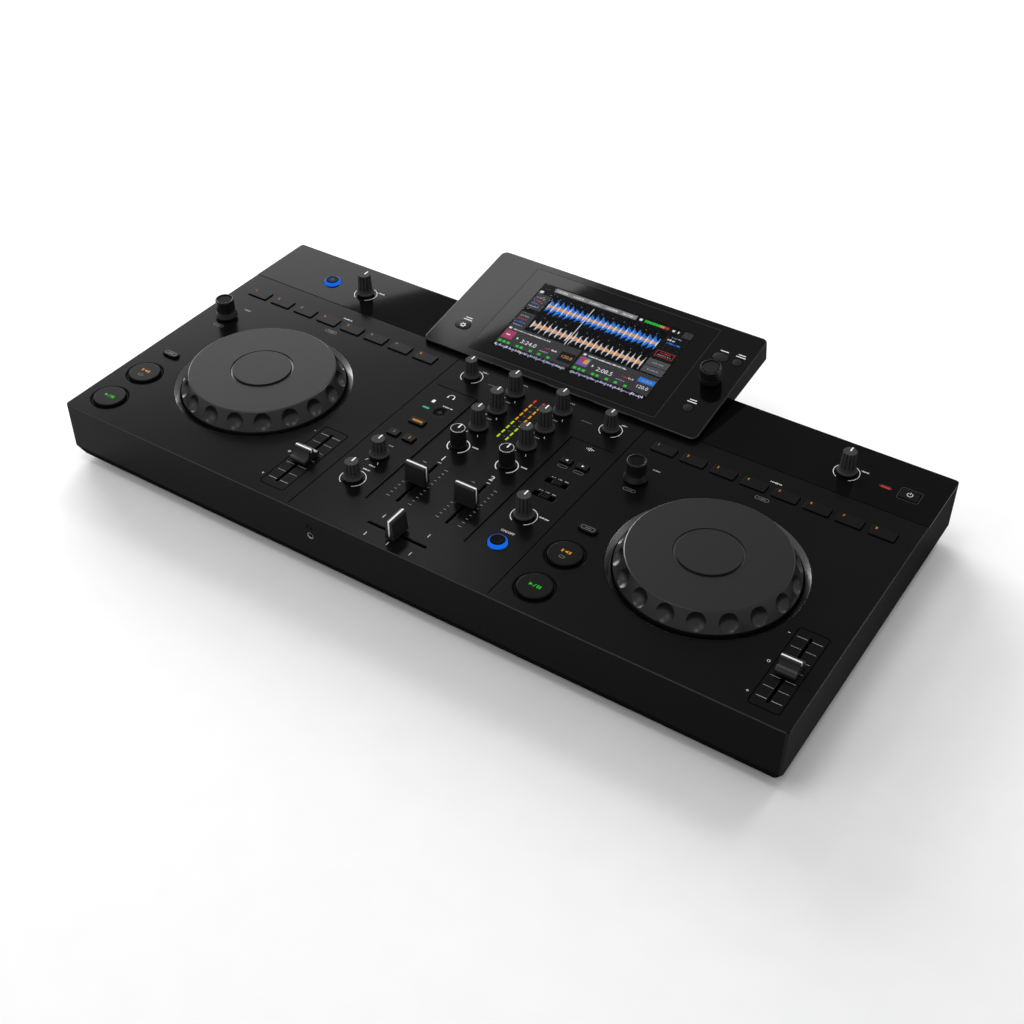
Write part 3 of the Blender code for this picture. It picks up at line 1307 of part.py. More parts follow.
for deck, direction in SIDES:
    jog_wheel(deck, direction * DECK_X, panel_origin)
    pad_bank(deck, direction * DECK_X, panel_origin)
for label, knob_x, knob_y, style in (*panel_knobs(), *strip_knobs()):
    knob(label, style, panel_origin, knob_x, knob_y)
for label, button_x, button_y, style in (*panel_buttons(), *strip_buttons()):
    panel_button(label, style, FINISHES["button"], panel_origin, button_x, button_y)
for label, switch_x, switch_y in switches():
    slide_switch(label, panel_origin, switch_x, switch_y)
for label, fader_x, fader_y, reach_x, reach_y in faders():
    if label.startswith("tempo"):
        tempo_fader(label, panel_origin, fader_x, fader_y)
    else:
        mixer_fader(label, panel_origin, fader_x, fader_y, reach_x > 0)
for deck, loop_x, loop_y in loop_encoders():
    spot = (loop_x, loop_y, 0)
    encoder_knob(f"loop_encoder_{deck}", LOOP_ENCODER_HEIGHT, panel_origin, spot)
    shaft_foot = SHAFT_END + ENCODER_TRAVEL
    encoder_shaft(f"loop_shaft_{deck}", LOOP_ENCODER_HEIGHT, True, shaft_foot, panel_origin, spot)
spot = (GLASS_EDGE + BROWSE_GAP, BROWSE_ROW, 0)
encoder_knob("browse_encoder", BROWSE_ENCODER_HEIGHT, display_slope, spot)
encoder_shaft("browse_shaft", BROWSE_ENCODER_HEIGHT, False, -BROWSE_SHAFT_DEPTH, display_slope, spot)
for label, key_x, key_row, style in display_keys():
    display_key(label, style, display_slope, key_x, key_row)
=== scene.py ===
# %% [markdown]
# # Dressing a two-deck DJ controller
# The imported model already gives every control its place, its body and its joint. This lesson dresses
# those bodies, so that the model looks like the real thing and still moves like it. Loading the frame
# comes first, because the places and sizes of the controls are read from it.

# %% Load the frame
import json
import math
import random

import bmesh
import bpy
from mathutils import Matrix, Vector


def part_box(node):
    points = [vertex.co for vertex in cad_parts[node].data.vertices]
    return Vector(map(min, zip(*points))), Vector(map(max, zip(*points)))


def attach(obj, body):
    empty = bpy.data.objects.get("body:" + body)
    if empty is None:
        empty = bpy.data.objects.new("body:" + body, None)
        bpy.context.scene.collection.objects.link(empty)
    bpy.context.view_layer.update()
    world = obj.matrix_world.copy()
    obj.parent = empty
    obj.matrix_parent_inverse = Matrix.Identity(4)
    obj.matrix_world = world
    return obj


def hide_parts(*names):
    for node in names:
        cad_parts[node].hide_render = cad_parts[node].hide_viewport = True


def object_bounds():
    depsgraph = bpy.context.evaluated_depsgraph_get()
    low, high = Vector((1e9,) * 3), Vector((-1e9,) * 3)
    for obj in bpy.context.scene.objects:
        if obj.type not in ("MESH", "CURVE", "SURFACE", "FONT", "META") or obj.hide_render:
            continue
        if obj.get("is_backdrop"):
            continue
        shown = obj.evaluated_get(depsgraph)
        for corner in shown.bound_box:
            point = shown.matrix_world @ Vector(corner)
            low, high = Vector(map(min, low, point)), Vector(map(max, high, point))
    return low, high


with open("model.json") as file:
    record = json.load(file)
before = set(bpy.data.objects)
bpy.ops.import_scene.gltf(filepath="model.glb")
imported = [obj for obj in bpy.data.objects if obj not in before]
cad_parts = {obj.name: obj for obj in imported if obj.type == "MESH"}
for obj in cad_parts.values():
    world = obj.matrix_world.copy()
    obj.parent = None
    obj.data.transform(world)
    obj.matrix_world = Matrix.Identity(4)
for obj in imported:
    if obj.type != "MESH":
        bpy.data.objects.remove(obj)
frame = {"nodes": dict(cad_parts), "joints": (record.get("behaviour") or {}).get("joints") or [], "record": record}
cad_low, cad_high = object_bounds()

# %% [markdown]
# ## Measures
# On the real controller nearly every control stands on one flat top panel, so a control is placed by
# its point on that panel and by how far it rises above it. Both can be read from the box of its node,
# which is safer than typing the numbers again.

# %% Measures taken from the frame
MM = 0.001
case_low, case_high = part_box("upper_case")
TOP = case_high.z
FRONT = case_low.y
JOINTS = {joint["child"]: joint for joint in frame["joints"]}
SIDES = ("left", "right")
BOTH = (-1, 1)


def spot(node):
    """The point on the top panel at the middle of a control."""
    low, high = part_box(node)
    return Vector(((low.x + high.x) / 2, (low.y + high.y) / 2, TOP))


def half(node):
    """Half the size of a node along each axis."""
    low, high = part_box(node)
    return (high - low) / 2


def rise(node):
    """How far a node stands above the top panel."""
    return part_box(node)[1].z - TOP


def reach(node):
    """How far a sliding control goes from its middle to its end stop."""
    return JOINTS[node]["range_m"][1]


print("case: %.1f x %.1f mm" % ((case_high.x - case_low.x) / MM, (case_high.y - case_low.y) / MM))

# %% [markdown]
# ## Finishes
# A finish is a material whose colour, gloss and relief change a little over the surface, as they do on
# any moulded or printed part. Writing its sums as Python expressions keeps them readable, so one small
# class wraps a node's output, one adds nodes, and one knows the shader of a material.


# %% Shader sums as expressions
class Wire:
    """One output of a node, which takes part in sums like a number."""

    def __init__(self, nodes, socket):
        self.nodes = nodes
        self.socket = socket

    def sum(self, operation, first, second):
        return self.nodes.node("ShaderNodeMath", {"operation": operation}, {0: first, 1: second})

    def __add__(self, other):
        return self.sum("ADD", self, other)

    __radd__ = __add__

    def __sub__(self, other):
        return self.sum("SUBTRACT", self, other)

    def __rsub__(self, other):
        return self.sum("SUBTRACT", other, self)

    def __mul__(self, other):
        return self.sum("MULTIPLY", self, other)

    __rmul__ = __mul__


class Nodes:
    """The nodes of a material or of the studio's surroundings."""

    def __init__(self, owner, shader):
        owner.use_nodes = True
        self.tree = owner.node_tree
        self.shader = self.tree.nodes[shader]

    def set(self, socket, value):
        self.shader.inputs[socket].default_value = value

    def vary(self, socket, wire):
        self.tree.links.new(wire.socket, self.shader.inputs[socket])

    def node(self, kind, settings, inputs, output=0):
        made = self.tree.nodes.new(kind)
        for key, value in settings.items():
            setattr(made, key, value)
        for key, value in inputs.items():
            if isinstance(value, Wire):
                self.tree.links.new(value.socket, made.inputs[key])
            else:
                made.inputs[key].default_value = value
        return Wire(self, made.outputs[output])


print("sums ready")

# %% [markdown]
# A finish starts from four constants: colour, roughness, shine and metal. Grain, tint and relief are then
# added with nodes that are fixed to the piece, so the pattern moves with it.


# %% What a finish can do
class Finish(Nodes):
    """A material: its constants are set on the shader, and what varies comes through nodes."""

    def __init__(self, name, colour, roughness, specular=0.5, metallic=0.0):
        self.material = bpy.data.materials.new(name)
        super().__init__(self.material, "Principled BSDF")
        self.set("Base Color", (*colour, 1))
        self.set("Roughness", roughness)
        self.set("Specular IOR Level", specular)
        self.set("Metallic", metallic)

    def grain(self, size, detail=2):
        """Soft blotches of about this size, from 0 to 1, fixed to the piece."""
        place = self.node("ShaderNodeTexCoord", {}, {}, "Object")
        return self.node("ShaderNodeTexNoise", {}, {"Vector": place, "Scale": 1 / size, "Detail": detail})

    def tint(self, dark, light, amount):
        """A colour between two others."""
        inputs = {0: amount, 6: (*dark, 1), 7: (*light, 1)}
        return self.node("ShaderNodeMix", {"data_type": "RGBA"}, inputs, 2)

    def relief(self, wire, depth):
        """Small hills of this depth, which only bend the light."""
        self.vary("Normal", self.node("ShaderNodeBump", {}, {"Height": wire, "Distance": depth}, "Normal"))


def grey(level):
    return (level, level, level)


def shaded(colour, factor):
    return tuple(channel * factor for channel in colour)


print("shader helpers ready")

# %% [markdown]
# The case is black plastic with a fine spark-eroded grain from the mould, which spreads a highlight
# into a broad sheen. The rear strip and the display are polished. Caps and knobs are a little paler,
# because their soft-touch paint scatters more light. One recipe with other numbers gives all of them.

# %% Moulded plastics
BROAD_GRAIN = 40 * MM


def plastic(name, colour, roughness, specular, grain, depth, coat=0.0):
    """Plastic from a mould: a fine grain, slightly uneven sheen and slow changes of shade."""
    finish = Finish(name, colour, roughness, specular)
    fine = finish.grain(grain)
    broad = finish.grain(BROAD_GRAIN)
    finish.vary("Base Color", finish.tint(shaded(colour, 0.75), shaded(colour, 1.25), broad * 0.6 + fine * 0.4))
    finish.vary("Roughness", roughness + (fine - 0.5) * roughness * 0.4 + (broad - 0.5) * roughness * 0.2)
    finish.set("Coat Weight", coat)
    finish.set("Coat Roughness", roughness)
    if depth:
        finish.relief(fine, depth)
    return finish


def moulded(*recipe):
    return plastic(*recipe).material


# Each recipe: name, colour, roughness, specular level, size of the grain, depth of the grain, coat.
base_black = moulded("base_black", grey(0.003), 0.5, 0, 0.6 * MM, 0.02 * MM, 0.05)
strip_gloss = moulded("strip_gloss", grey(0.004), 0.04, 0.0145, 60 * MM, 0)
knob_grey = moulded("knob_grey", grey(0.044), 0.5, 0.01, 0.4 * MM, 0.012 * MM)
knob_black = moulded("knob_black", grey(0.009), 0.34, 0.16, 0.4 * MM, 0.01 * MM)
cap_grey = moulded("cap_grey", grey(0.014), 0.32, 0.16, 0.6 * MM, 0.004 * MM)
button_black = moulded("button_black", grey(0.004), 0.3, 0, 0.5 * MM, 0.008 * MM, 0.1)
crown_black = moulded("crown_black", grey(0.002), 0.5, 0.01, 0.5 * MM, 0.008 * MM)
key_grey = moulded("key_grey", grey(0.013), 0.4, 0.04, 0.5 * MM, 0.006 * MM)
pad_rubber = moulded("pad_rubber", grey(0.004), 0.34, 0, 0.4 * MM, 0.01 * MM, 0.1)
foot_rubber = moulded("foot_rubber", grey(0.012), 0.8, 0.1, 0.5 * MM, 0.03 * MM)
hole_black = moulded("hole_black", grey(0.001), 0.7, 0.01, 0.6 * MM, 0.02 * MM)
white_ink = moulded("white_ink", grey(0.7), 0.5, 0.2, 0.3 * MM, 0.004 * MM)
pale_ink = moulded("pale_ink", grey(0.34), 0.5, 0.1, 0.3 * MM, 0.004 * MM)
grey_ink = moulded("grey_ink", grey(0.11), 0.5, 0.1, 0.3 * MM, 0.004 * MM)
edge_grey = moulded("edge_grey", grey(0.045), 0.4, 0.1, 0.3 * MM, 0.004 * MM)
print("plastics and inks ready")

# %% [markdown]
# The case's own plastic is not the same all over. The mould is blasted where it forms the top, so the top
# is dull. The sheen on the walls is painted: their coat fades from left to right on the front wall and from
# front to back on the right wall, and a stronger coat paints a glint down the front right corner. A stronger
# coat on the outer rims paints a thin line of light along each edge.

# %% Case plastic
EDGE = 0.6 * MM
BARELY = 0.02 * MM
CORNER_GLINT_ZONE = 2.6 * MM
PLAIN_COAT = 0.045
RIM_GLINT_COAT = 0.45
case_finish = plastic("case_black", grey(0.004), 0.32, 0, 0.45 * MM, 0.012 * MM)
case_finish.set("Coat Roughness", 0.22)
case_point = case_finish.node("ShaderNodeTexCoord", {}, {}, "Object")


def case_part(axis):
    """Where a point of the case lies along one axis."""
    return case_finish.node("ShaderNodeSeparateXYZ", {}, {"Vector": case_point}, axis)


def beyond(axis, limit):
    """1 where the case lies further along an axis than a limit, and 0 elsewhere."""
    return case_finish.node("ShaderNodeMath", {"operation": "GREATER_THAN"}, {0: case_part(axis), 1: limit})


on_top = beyond("Z", TOP - BARELY)
near_top = beyond("Z", TOP - EDGE)
on_front = 1 - beyond("Y", FRONT + BARELY)
on_end = beyond("X", case_high.x - BARELY)
from_left = (case_part("X") - case_low.x) * (1 / (case_high.x - case_low.x))
from_front = (case_part("Y") - FRONT) * (1 / (case_high.y - FRONT))
front_edge = 1 - beyond("Y", FRONT + EDGE)
rear_edge = beyond("Y", case_high.y - EDGE)
right_edge = beyond("X", case_high.x - EDGE)
# Painted light: a stronger coat on the outer rims paints edge lines, and on the walls and the front right corner it
# paints a sheen and a glint.
rim = (near_top - on_top) * (front_edge + rear_edge + right_edge * 0.5)
corner = beyond("X", case_high.x - CORNER_GLINT_ZONE) * (1 - beyond("Y", FRONT + CORNER_GLINT_ZONE)) * (1 - near_top)
painted_wall_sheen = on_front * (0.2 - from_left * 0.12) + on_end * (1 - from_front) * 0.1 + corner * 0.2
case_finish.vary("Coat Weight", PLAIN_COAT + on_top * PLAIN_COAT + painted_wall_sheen + rim * RIM_GLINT_COAT)
case_black = case_finish.material
print("case plastic: edges of", round(EDGE / MM, 1), "mm shine")

# %% [markdown]
# Metal shows in few places: the mouths of the jog wells, the rings on the filter knobs, the sockets, the
# encoder shafts and the screws. Lamps are small windows of clear plastic that glow from behind, so each
# gets an emission colour and stays a plain tinted plastic where it is unlit.


# %% Metals, lamps and board
def turned_metal(name, colour, roughness):
    finish = Finish(name, colour, roughness, metallic=1.0)
    streaks = finish.grain(0.3 * MM, 4)
    finish.vary("Roughness", roughness + (streaks - 0.5) * 0.25)
    finish.vary("Base Color", finish.tint(shaded(colour, 0.8), colour, streaks))
    finish.relief(streaks, 0.002 * MM)
    return finish.material


def lamp(name, colour, strength, specular=0.02):
    finish = Finish(name, shaded(colour, 0.1), 0.3, specular)
    cells = finish.grain(0.5 * MM, 1)
    finish.vary("Emission Color", finish.tint(shaded(colour, 0.75), colour, cells))
    finish.vary("Roughness", 0.25 + cells * 0.15)
    finish.set("Emission Strength", strength)
    return finish.material


nickel = turned_metal("nickel", grey(0.62), 0.28)
dark_nickel = turned_metal("dark_nickel", grey(0.22), 0.3)
gilt = turned_metal("gilt", (0.75, 0.55, 0.2), 0.3)
lamp_green = lamp("lamp_green", (0.02, 0.62, 0.025), 0.8)
lamp_lime = lamp("lamp_lime", (0.55, 0.75, 0.01), 0.8)
lamp_orange = lamp("lamp_orange", (0.85, 0.34, 0.01), 0.8)
lamp_red = lamp("lamp_red", (0.75, 0.04, 0.02), 0.75)
lamp_blue = lamp("lamp_blue", (0.01, 0.17, 0.95), 0.85)
lamp_teal = lamp("lamp_teal", (0.02, 0.55, 0.32), 0.75)
lamp_white = lamp("lamp_white", (0.8, 0.8, 0.8), 0.7)
board_mask = moulded("board_mask", (0.001, 0.003, 0.002), 0.6, 0.03, 1.5 * MM, 0.02 * MM)
frame["nodes"]["control_board"].data.materials[0] = board_mask
for shaft in ("loop_shaft_left", "loop_shaft_right", "browse_shaft"):
    frame["nodes"][shaft].data.materials[0] = nickel
print("metals and lamps ready")

# %% [markdown]
# ## Shaping tools
# Most controls are turned shapes or blocks with soft rims. A turned shape is a half profile that is spun
# once round; rounding each corner of the profile first gives the small radius that catches the light.
# A short straight stretch is kept beside each rounding, so that flat faces stay flat when shaded.

# %% Profiles and turned shapes
HOLD = 0.12 * MM
MERGE = 0.0004 * MM


def softened(corners, bits=4, closed=False):
    """Rounds the corners of a profile. Each corner is (across, up, rounding), all in metres."""
    points = []
    count = len(corners)
    for here, (across, up, rounding) in enumerate(corners):
        corner = Vector((across, up))
        inner = closed or 0 < here < count - 1
        if not rounding or not inner:
            points.append(corner)
            continue
        back = (Vector(corners[here - 1][:2]) - corner).normalized()
        on = (Vector(corners[(here + 1) % count][:2]) - corner).normalized()
        half_angle = back.angle(on) / 2
        along = rounding / math.tan(half_angle)
        centre = corner + (back + on).normalized() * (rounding / math.sin(half_angle))
        arm = (corner + back * along - centre).normalized()
        other = (corner + on * along - centre).normalized()
        points.append(corner + back * (along + HOLD))
        points += [centre + rounding * arm.slerp(other, bit / bits) for bit in range(bits + 1)]
        points.append(corner + on * (along + HOLD))
    return points


def turned(corners, steps=72, bits=4, closed=False):
    """Spins a profile of (radius, height, rounding) corners once round the upright axis."""
    shape = bmesh.new()
    points = [shape.verts.new((p.x, 0, p.y)) for p in softened(corners, bits, closed)]
    edges = [shape.edges.new(pair) for pair in zip(points, points[1:])]
    if closed:
        edges.append(shape.edges.new((points[-1], points[0])))
    turn = {"axis": (0, 0, 1), "cent": (0, 0, 0), "angle": math.tau}
    bmesh.ops.spin(shape, geom=points + edges, steps=steps, use_merge=True, **turn)
    bmesh.ops.remove_doubles(shape, verts=shape.verts, dist=MERGE)
    return shape


def fluted(shape, count, depth, low, high, sharpness):
    """Presses upright grooves into the side of a turned shape between two heights."""
    for vert in shape.verts:
        radius = math.hypot(vert.co.x, vert.co.y)
        if low <= vert.co.z <= high and radius > depth:
            wave = 0.5 + 0.5 * math.cos(count * math.atan2(vert.co.y, vert.co.x))
            shrink = 1 - depth * wave**sharpness / radius
            vert.co.x *= shrink
            vert.co.y *= shrink
    return shape


print("turning tools ready")

# %% [markdown]
# Blocks start as a cube. Beveling the upright edges gives the corners seen from above, and beveling the
# top loop gives the soft rim. An inset inside the rim holds the flat top flat.


# %% Blocks
def block(low, high, corner=0.0, rim=0.0, bits=4):
    """A block between two corners, with round upright corners and a soft upper rim."""
    shape = bmesh.new()
    low, high = Vector(low), Vector(high)
    bmesh.ops.create_cube(shape, size=1)
    bmesh.ops.scale(shape, vec=high - low, verts=shape.verts)
    bmesh.ops.translate(shape, vec=(low + high) / 2, verts=shape.verts)
    ways = {"affect": "EDGES", "profile": 0.5, "material": -1, "clamp_overlap": True}
    if corner:
        upright = [e for e in shape.edges if abs(e.verts[0].co.z - e.verts[1].co.z) > MERGE]
        bmesh.ops.bevel(shape, geom=upright, offset=corner, segments=bits, **ways)
    if rim:
        upper = [e for e in shape.edges if all(v.co.z > high.z - MERGE for v in e.verts)]
        bmesh.ops.bevel(shape, geom=upper, offset=rim, segments=3, **ways)
        lids = [f for f in shape.faces if all(v.co.z > high.z - MERGE for v in f.verts)]
        bmesh.ops.inset_individual(shape, faces=lids, thickness=HOLD)
    return shape


print("block tool ready")

# %% [markdown]
# A few helpers move a shape, lay it on a slope or a wall, join several shapes into one, or cut one out of
# another. A Boolean modifier works on objects, so the shapes become objects for a moment and are then
# deleted again; the finished mesh is read back as a new shape.


# %% Moves and cuts
def moved(shape, place):
    bmesh.ops.translate(shape, vec=place, verts=shape.verts)
    return shape


def laid(shape, matrix):
    bmesh.ops.transform(shape, matrix=matrix, verts=shape.verts)
    return shape


def gathered(shapes):
    """One shape from several."""
    whole = bmesh.new()
    for shape in shapes:
        mesh = bpy.data.meshes.new("part")
        shape.to_mesh(mesh)
        shape.free()
        whole.from_mesh(mesh)
        bpy.data.meshes.remove(mesh)
    return whole


def helper_object(shape):
    mesh = bpy.data.meshes.new("helper")
    bmesh.ops.recalc_face_normals(shape, faces=shape.faces)
    shape.to_mesh(mesh)
    shape.free()
    made = bpy.data.objects.new("helper", mesh)
    bpy.context.collection.objects.link(made)
    return made


def drop(made):
    data = made.data
    bpy.data.objects.remove(made)
    if isinstance(data, bpy.types.Mesh):
        bpy.data.meshes.remove(data)
    else:
        bpy.data.curves.remove(data)


def finished_mesh(made):
    """The mesh of an object with its modifiers, or of a curve, as a new shape."""
    graph = bpy.context.evaluated_depsgraph_get()
    mesh = bpy.data.meshes.new_from_object(made.evaluated_get(graph))
    shape = bmesh.new()
    shape.from_mesh(mesh)
    bpy.data.meshes.remove(mesh)
    return shape


def carved(shape, cutters):
    """Takes the cutters out of a shape with a Boolean modifier."""
    work = helper_object(shape)
    tool = helper_object(gathered(cutters))
    cut = work.modifiers.new("cut", "BOOLEAN")
    cut.operation = "DIFFERENCE"
    cut.solver = "EXACT"
    cut.object = tool
    result = finished_mesh(work)
    drop(work)
    drop(tool)
    return result


print("cutting tools ready")

# %% [markdown]
# The top panel is one sheet with some seventy openings. A filled flat curve suits that best: each outline
# is one spline, Blender fills between them, and the curve's own bevel softens every rim at once. Text is
# filled in the same way, so it is made here too.


# %% Sheets with openings, and text
def oblong(x, y, half_x, half_y, corner, bits=6):
    """The outline of a rectangle with round corners; it is a circle where all three sizes agree."""
    points = []
    for quarter, (side, end) in enumerate(((1, 1), (-1, 1), (-1, -1), (1, -1))):
        centre = Vector((x + side * (half_x - corner), y + end * (half_y - corner)))
        for bit in range(bits + 1):
            angle = (quarter + bit / bits) * math.pi / 2
            point = centre + corner * Vector((math.cos(angle), math.sin(angle)))
            if not points or (point - points[-1]).length > MERGE:
                points.append(point)
    if (points[0] - points[-1]).length < MERGE:
        points.pop()
    return points


def disc(x, y, radius, bits=12):
    return oblong(x, y, radius, radius, radius, bits)


def sheet(outer, holes, low, high, rim=0.0):
    """A flat sheet between two heights, with openings and soft rims."""
    curve = bpy.data.curves.new("sheet", "CURVE")
    curve.dimensions = "2D"
    curve.fill_mode = "BOTH"
    curve.extrude = (high - low) / 2 - rim
    curve.bevel_depth = rim
    curve.bevel_resolution = 2
    curve.offset = -rim
    for outline in [outer] + [hole[::-1] for hole in holes]:
        spline = curve.splines.new("POLY")
        spline.points.add(len(outline) - 1)
        for point, place in zip(spline.points, outline):
            point.co = (*place, 0, 1)
        spline.use_cyclic_u = True
    made = bpy.data.objects.new("sheet", curve)
    bpy.context.collection.objects.link(made)
    shape = finished_mesh(made)
    drop(made)
    bmesh.ops.remove_doubles(shape, verts=shape.verts, dist=MERGE)
    return moved(shape, (0, 0, (low + high) / 2))


def written(text, height, thick):
    """Text as a thin solid, centred on the origin."""
    curve = bpy.data.curves.new("mark", "FONT")
    curve.body = text
    curve.size = height
    curve.align_x = "CENTER"
    curve.align_y = "CENTER"
    curve.extrude = thick / 2
    curve.resolution_u = 3
    made = bpy.data.objects.new("mark", curve)
    bpy.context.collection.objects.link(made)
    shape = finished_mesh(made)
    drop(made)
    return shape


print("sheet tools ready")

# %% [markdown]
# A finished shape becomes a piece when it has a name, a finish and a body to ride on. Saying which node
# it stands for hides that node, while the simulation keeps it. Round faces are shaded smooth, but a face
# that lies flat on top is shaded flat, or the many openings in it would show as smears of light.


# %% From shape to piece
UP = Vector((0, 0, 1))
LEVEL = 0.9999


def keep(name, shape, finish, body="chassis", stands_for=(), smooth=25, flat=UP):
    """Makes a piece of a shape: it rides on a body of the frame and may stand for nodes."""
    bmesh.ops.remove_doubles(shape, verts=shape.verts, dist=MERGE)
    bmesh.ops.recalc_face_normals(shape, faces=shape.faces)
    mesh = bpy.data.meshes.new(name)
    shape.to_mesh(mesh)
    shape.free()
    mesh.shade_smooth()
    mesh.set_sharp_from_angle(angle=math.radians(smooth))
    for face in mesh.polygons:
        if face.normal.dot(flat) > LEVEL:
            face.use_smooth = False
    mesh.materials.append(finish)
    made = bpy.data.objects.new(name, mesh)
    bpy.context.collection.objects.link(made)
    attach(made, body)
    if stands_for:
        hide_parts(*stands_for)
    return made


nodes = list(frame["nodes"])
knob_nodes = [n for n in nodes if "_knob" in n]
button_nodes = [n for n in nodes if "_button" in n]
deck_button_nodes = [n for n in button_nodes if n.startswith(("play", "cue"))]
fader_nodes = [n for n in nodes if "fader" in n]
switch_nodes = [n for n in nodes if n.endswith("_switch")]
print(len(knob_nodes), "knobs,", len(button_nodes), "buttons,", len(fader_nodes), "faders")

# %% [markdown]
# ## The case
# The upper case is moulded in one piece: a flat panel with walls. It is made here as a thick sheet, so
# every opening is a deep dark shaft as it is on the real one. The rear part lies lower, to take the
# polished strip, so it is a sheet of its own.

# %% Sizes of caps and openings
FLANGE = 1.5 * MM
GAP = 0.3 * MM
WELL_RIM = 69.4 * MM
RING_RADIUS = 14.8 * MM
PAIRING_RING = 5 * MM
POWER_GAP = 0.9 * MM
SHAFT_HOLE = 3.4 * MM
ENCODER_HOLE = 4.2 * MM
SLOT_HALF = 0.95 * MM
SLOT_SPARE = 2.4 * MM
PAD_COUNT = 8
PAD_PITCH = 24.6 * MM
PAD_HALF = Vector((9.25 * MM, 5.25 * MM))
PAD_CORNER = 1 * MM
PAD_DROP = 0.5 * MM
DECK_CAP_DROP = 1.2 * MM
SWITCH_SLOT = Vector((9 * MM, 2.5 * MM))
strip_low, strip_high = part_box("rear_gloss_panel")


def cap_size(node):
    """Half the width and length of a button's cap, without the flange that holds it in."""
    size = half(node)
    return size.x - FLANGE, size.y - FLANGE


def cap_corner(node):
    wide, long = cap_size(node)
    is_round = abs(wide - long) < GAP or node.startswith("shift")
    return min(wide, long) if is_round else 0.8 * MM


def proud(node):
    """How far a cap stands out of the panel. Wide caps and pads sit lower than their nodes."""
    lower = DECK_CAP_DROP if node in deck_button_nodes else PAD_DROP if node.startswith("pad") else 0
    return rise(node) - lower


def surround_radius(node):
    """The round seat of a button, or nothing where its cap comes straight out of the panel."""
    return RING_RADIUS if node in deck_button_nodes else PAIRING_RING if node.startswith("pairing") else 0


def pad_spots(side):
    middle = spot(f"pad_bank_{side}")
    for index in range(PAD_COUNT):
        yield middle + Vector(((index - (PAD_COUNT - 1) / 2) * PAD_PITCH, 0, 0))


def slot_outline(node):
    place = spot(node)
    along = reach(node) + SLOT_SPARE
    if JOINTS[node]["axis"][0]:
        return oblong(place.x, place.y, along, SLOT_HALF, SLOT_HALF / 2)
    return oblong(place.x, place.y, SLOT_HALF, along, SLOT_HALF / 2)


print("pads: %.1f x %.1f mm" % (2 * PAD_HALF.x / MM, 2 * PAD_HALF.y / MM))

# %% [markdown]
# Every control needs its own opening, a little larger than what comes through it. Listing the outlines by
# kind of control keeps them in step with the frame. The strip behind the pads takes those that lie in it.

# %% Openings in the top panel
openings = [slot_outline(node) for node in fader_nodes]
openings += [oblong(spot(n).x, spot(n).y, *SWITCH_SLOT, 0.8 * MM) for n in switch_nodes]
openings += [disc(spot(n).x, spot(n).y, SHAFT_HOLE) for n in knob_nodes]
for node in button_nodes:
    place = spot(node)
    if surround_radius(node):
        openings.append(disc(place.x, place.y, surround_radius(node), 16))
    else:
        wide, long = cap_size(node)
        gap = POWER_GAP if node.startswith("power") else GAP
        openings.append(oblong(place.x, place.y, wide + gap, long + gap, cap_corner(node) + gap))
for side in SIDES:
    well = spot(f"jog_wheel_{side}")
    loop = spot(f"loop_encoder_{side}")
    openings.append(disc(well.x, well.y, WELL_RIM, 36))
    openings.append(disc(loop.x, loop.y, ENCODER_HOLE))
    openings += [oblong(p.x, p.y, PAD_HALF.x + GAP, PAD_HALF.y + GAP, PAD_CORNER + GAP) for p in pad_spots(side)]
field_openings = [o for o in openings if o[0].y < strip_low.y]
strip_openings = [o for o in openings if o[0].y > strip_low.y]
print("openings:", len(field_openings), "in the panel,", len(strip_openings), "in the strip")

# %% [markdown]
# Fine grooves mark out the mixer, and a rounded frame surrounds each tempo fader. They are cut with thin
# solids after the sheet is made, because they are only a millimetre deep.

# %% Grooves of the panel
GROOVE_WIDTH = 0.75 * MM
GROOVE_DEPTH = 1 * MM
DECK_GROOVE = Vector((85.3 * MM, 3 * MM, 219.5 * MM))
MIXER_GROOVE = Vector((42.5 * MM, 37.5 * MM, 177.9 * MM))
MIXER_GROOVE_END = 79 * MM
TEMPO_FRAME = Vector((10.9 * MM, 38.45 * MM, 2.5 * MM))


def groove(x, y, other_x, other_y):
    """A thin solid that cuts a straight groove between two points of the panel."""
    wide = GROOVE_WIDTH / 2
    low = (min(x, other_x) - wide, FRONT + min(y, other_y) - wide, TOP - GROOVE_DEPTH)
    high = (max(x, other_x) + wide, FRONT + max(y, other_y) + wide, TOP + GROOVE_DEPTH)
    return block(low, high)


def frame_cut(place):
    """A thin solid that cuts the rounded frame round a tempo fader."""
    wide = GROOVE_WIDTH / 2
    outer, inner = [oblong(place.x, place.y, *[size + out for size in TEMPO_FRAME]) for out in (wide, -wide)]
    return sheet(outer, [inner], TOP - GROOVE_DEPTH, TOP + GROOVE_DEPTH)


cuts = []
for sign, side in zip(BOTH, SIDES):
    cuts.append(groove(sign * DECK_GROOVE.x, DECK_GROOVE.y, sign * DECK_GROOVE.x, DECK_GROOVE.z))
    cuts.append(groove(sign * MIXER_GROOVE.x, MIXER_GROOVE.y, sign * MIXER_GROOVE.x, MIXER_GROOVE.z))
    turn = sign * (MIXER_GROOVE.x + GROOVE_WIDTH)
    cuts.append(groove(turn, MIXER_GROOVE.z, sign * MIXER_GROOVE_END, MIXER_GROOVE.z))
    cuts.append(frame_cut(spot(f"tempo_fader_{side}")))
print("grooves:", len(cuts))

# %% [markdown]
# The sockets need holes in the front and rear walls. A hole is cut with a short turned plug, swung round to
# face its wall. The two sheets are cut with their own plugs and then joined into one shell.

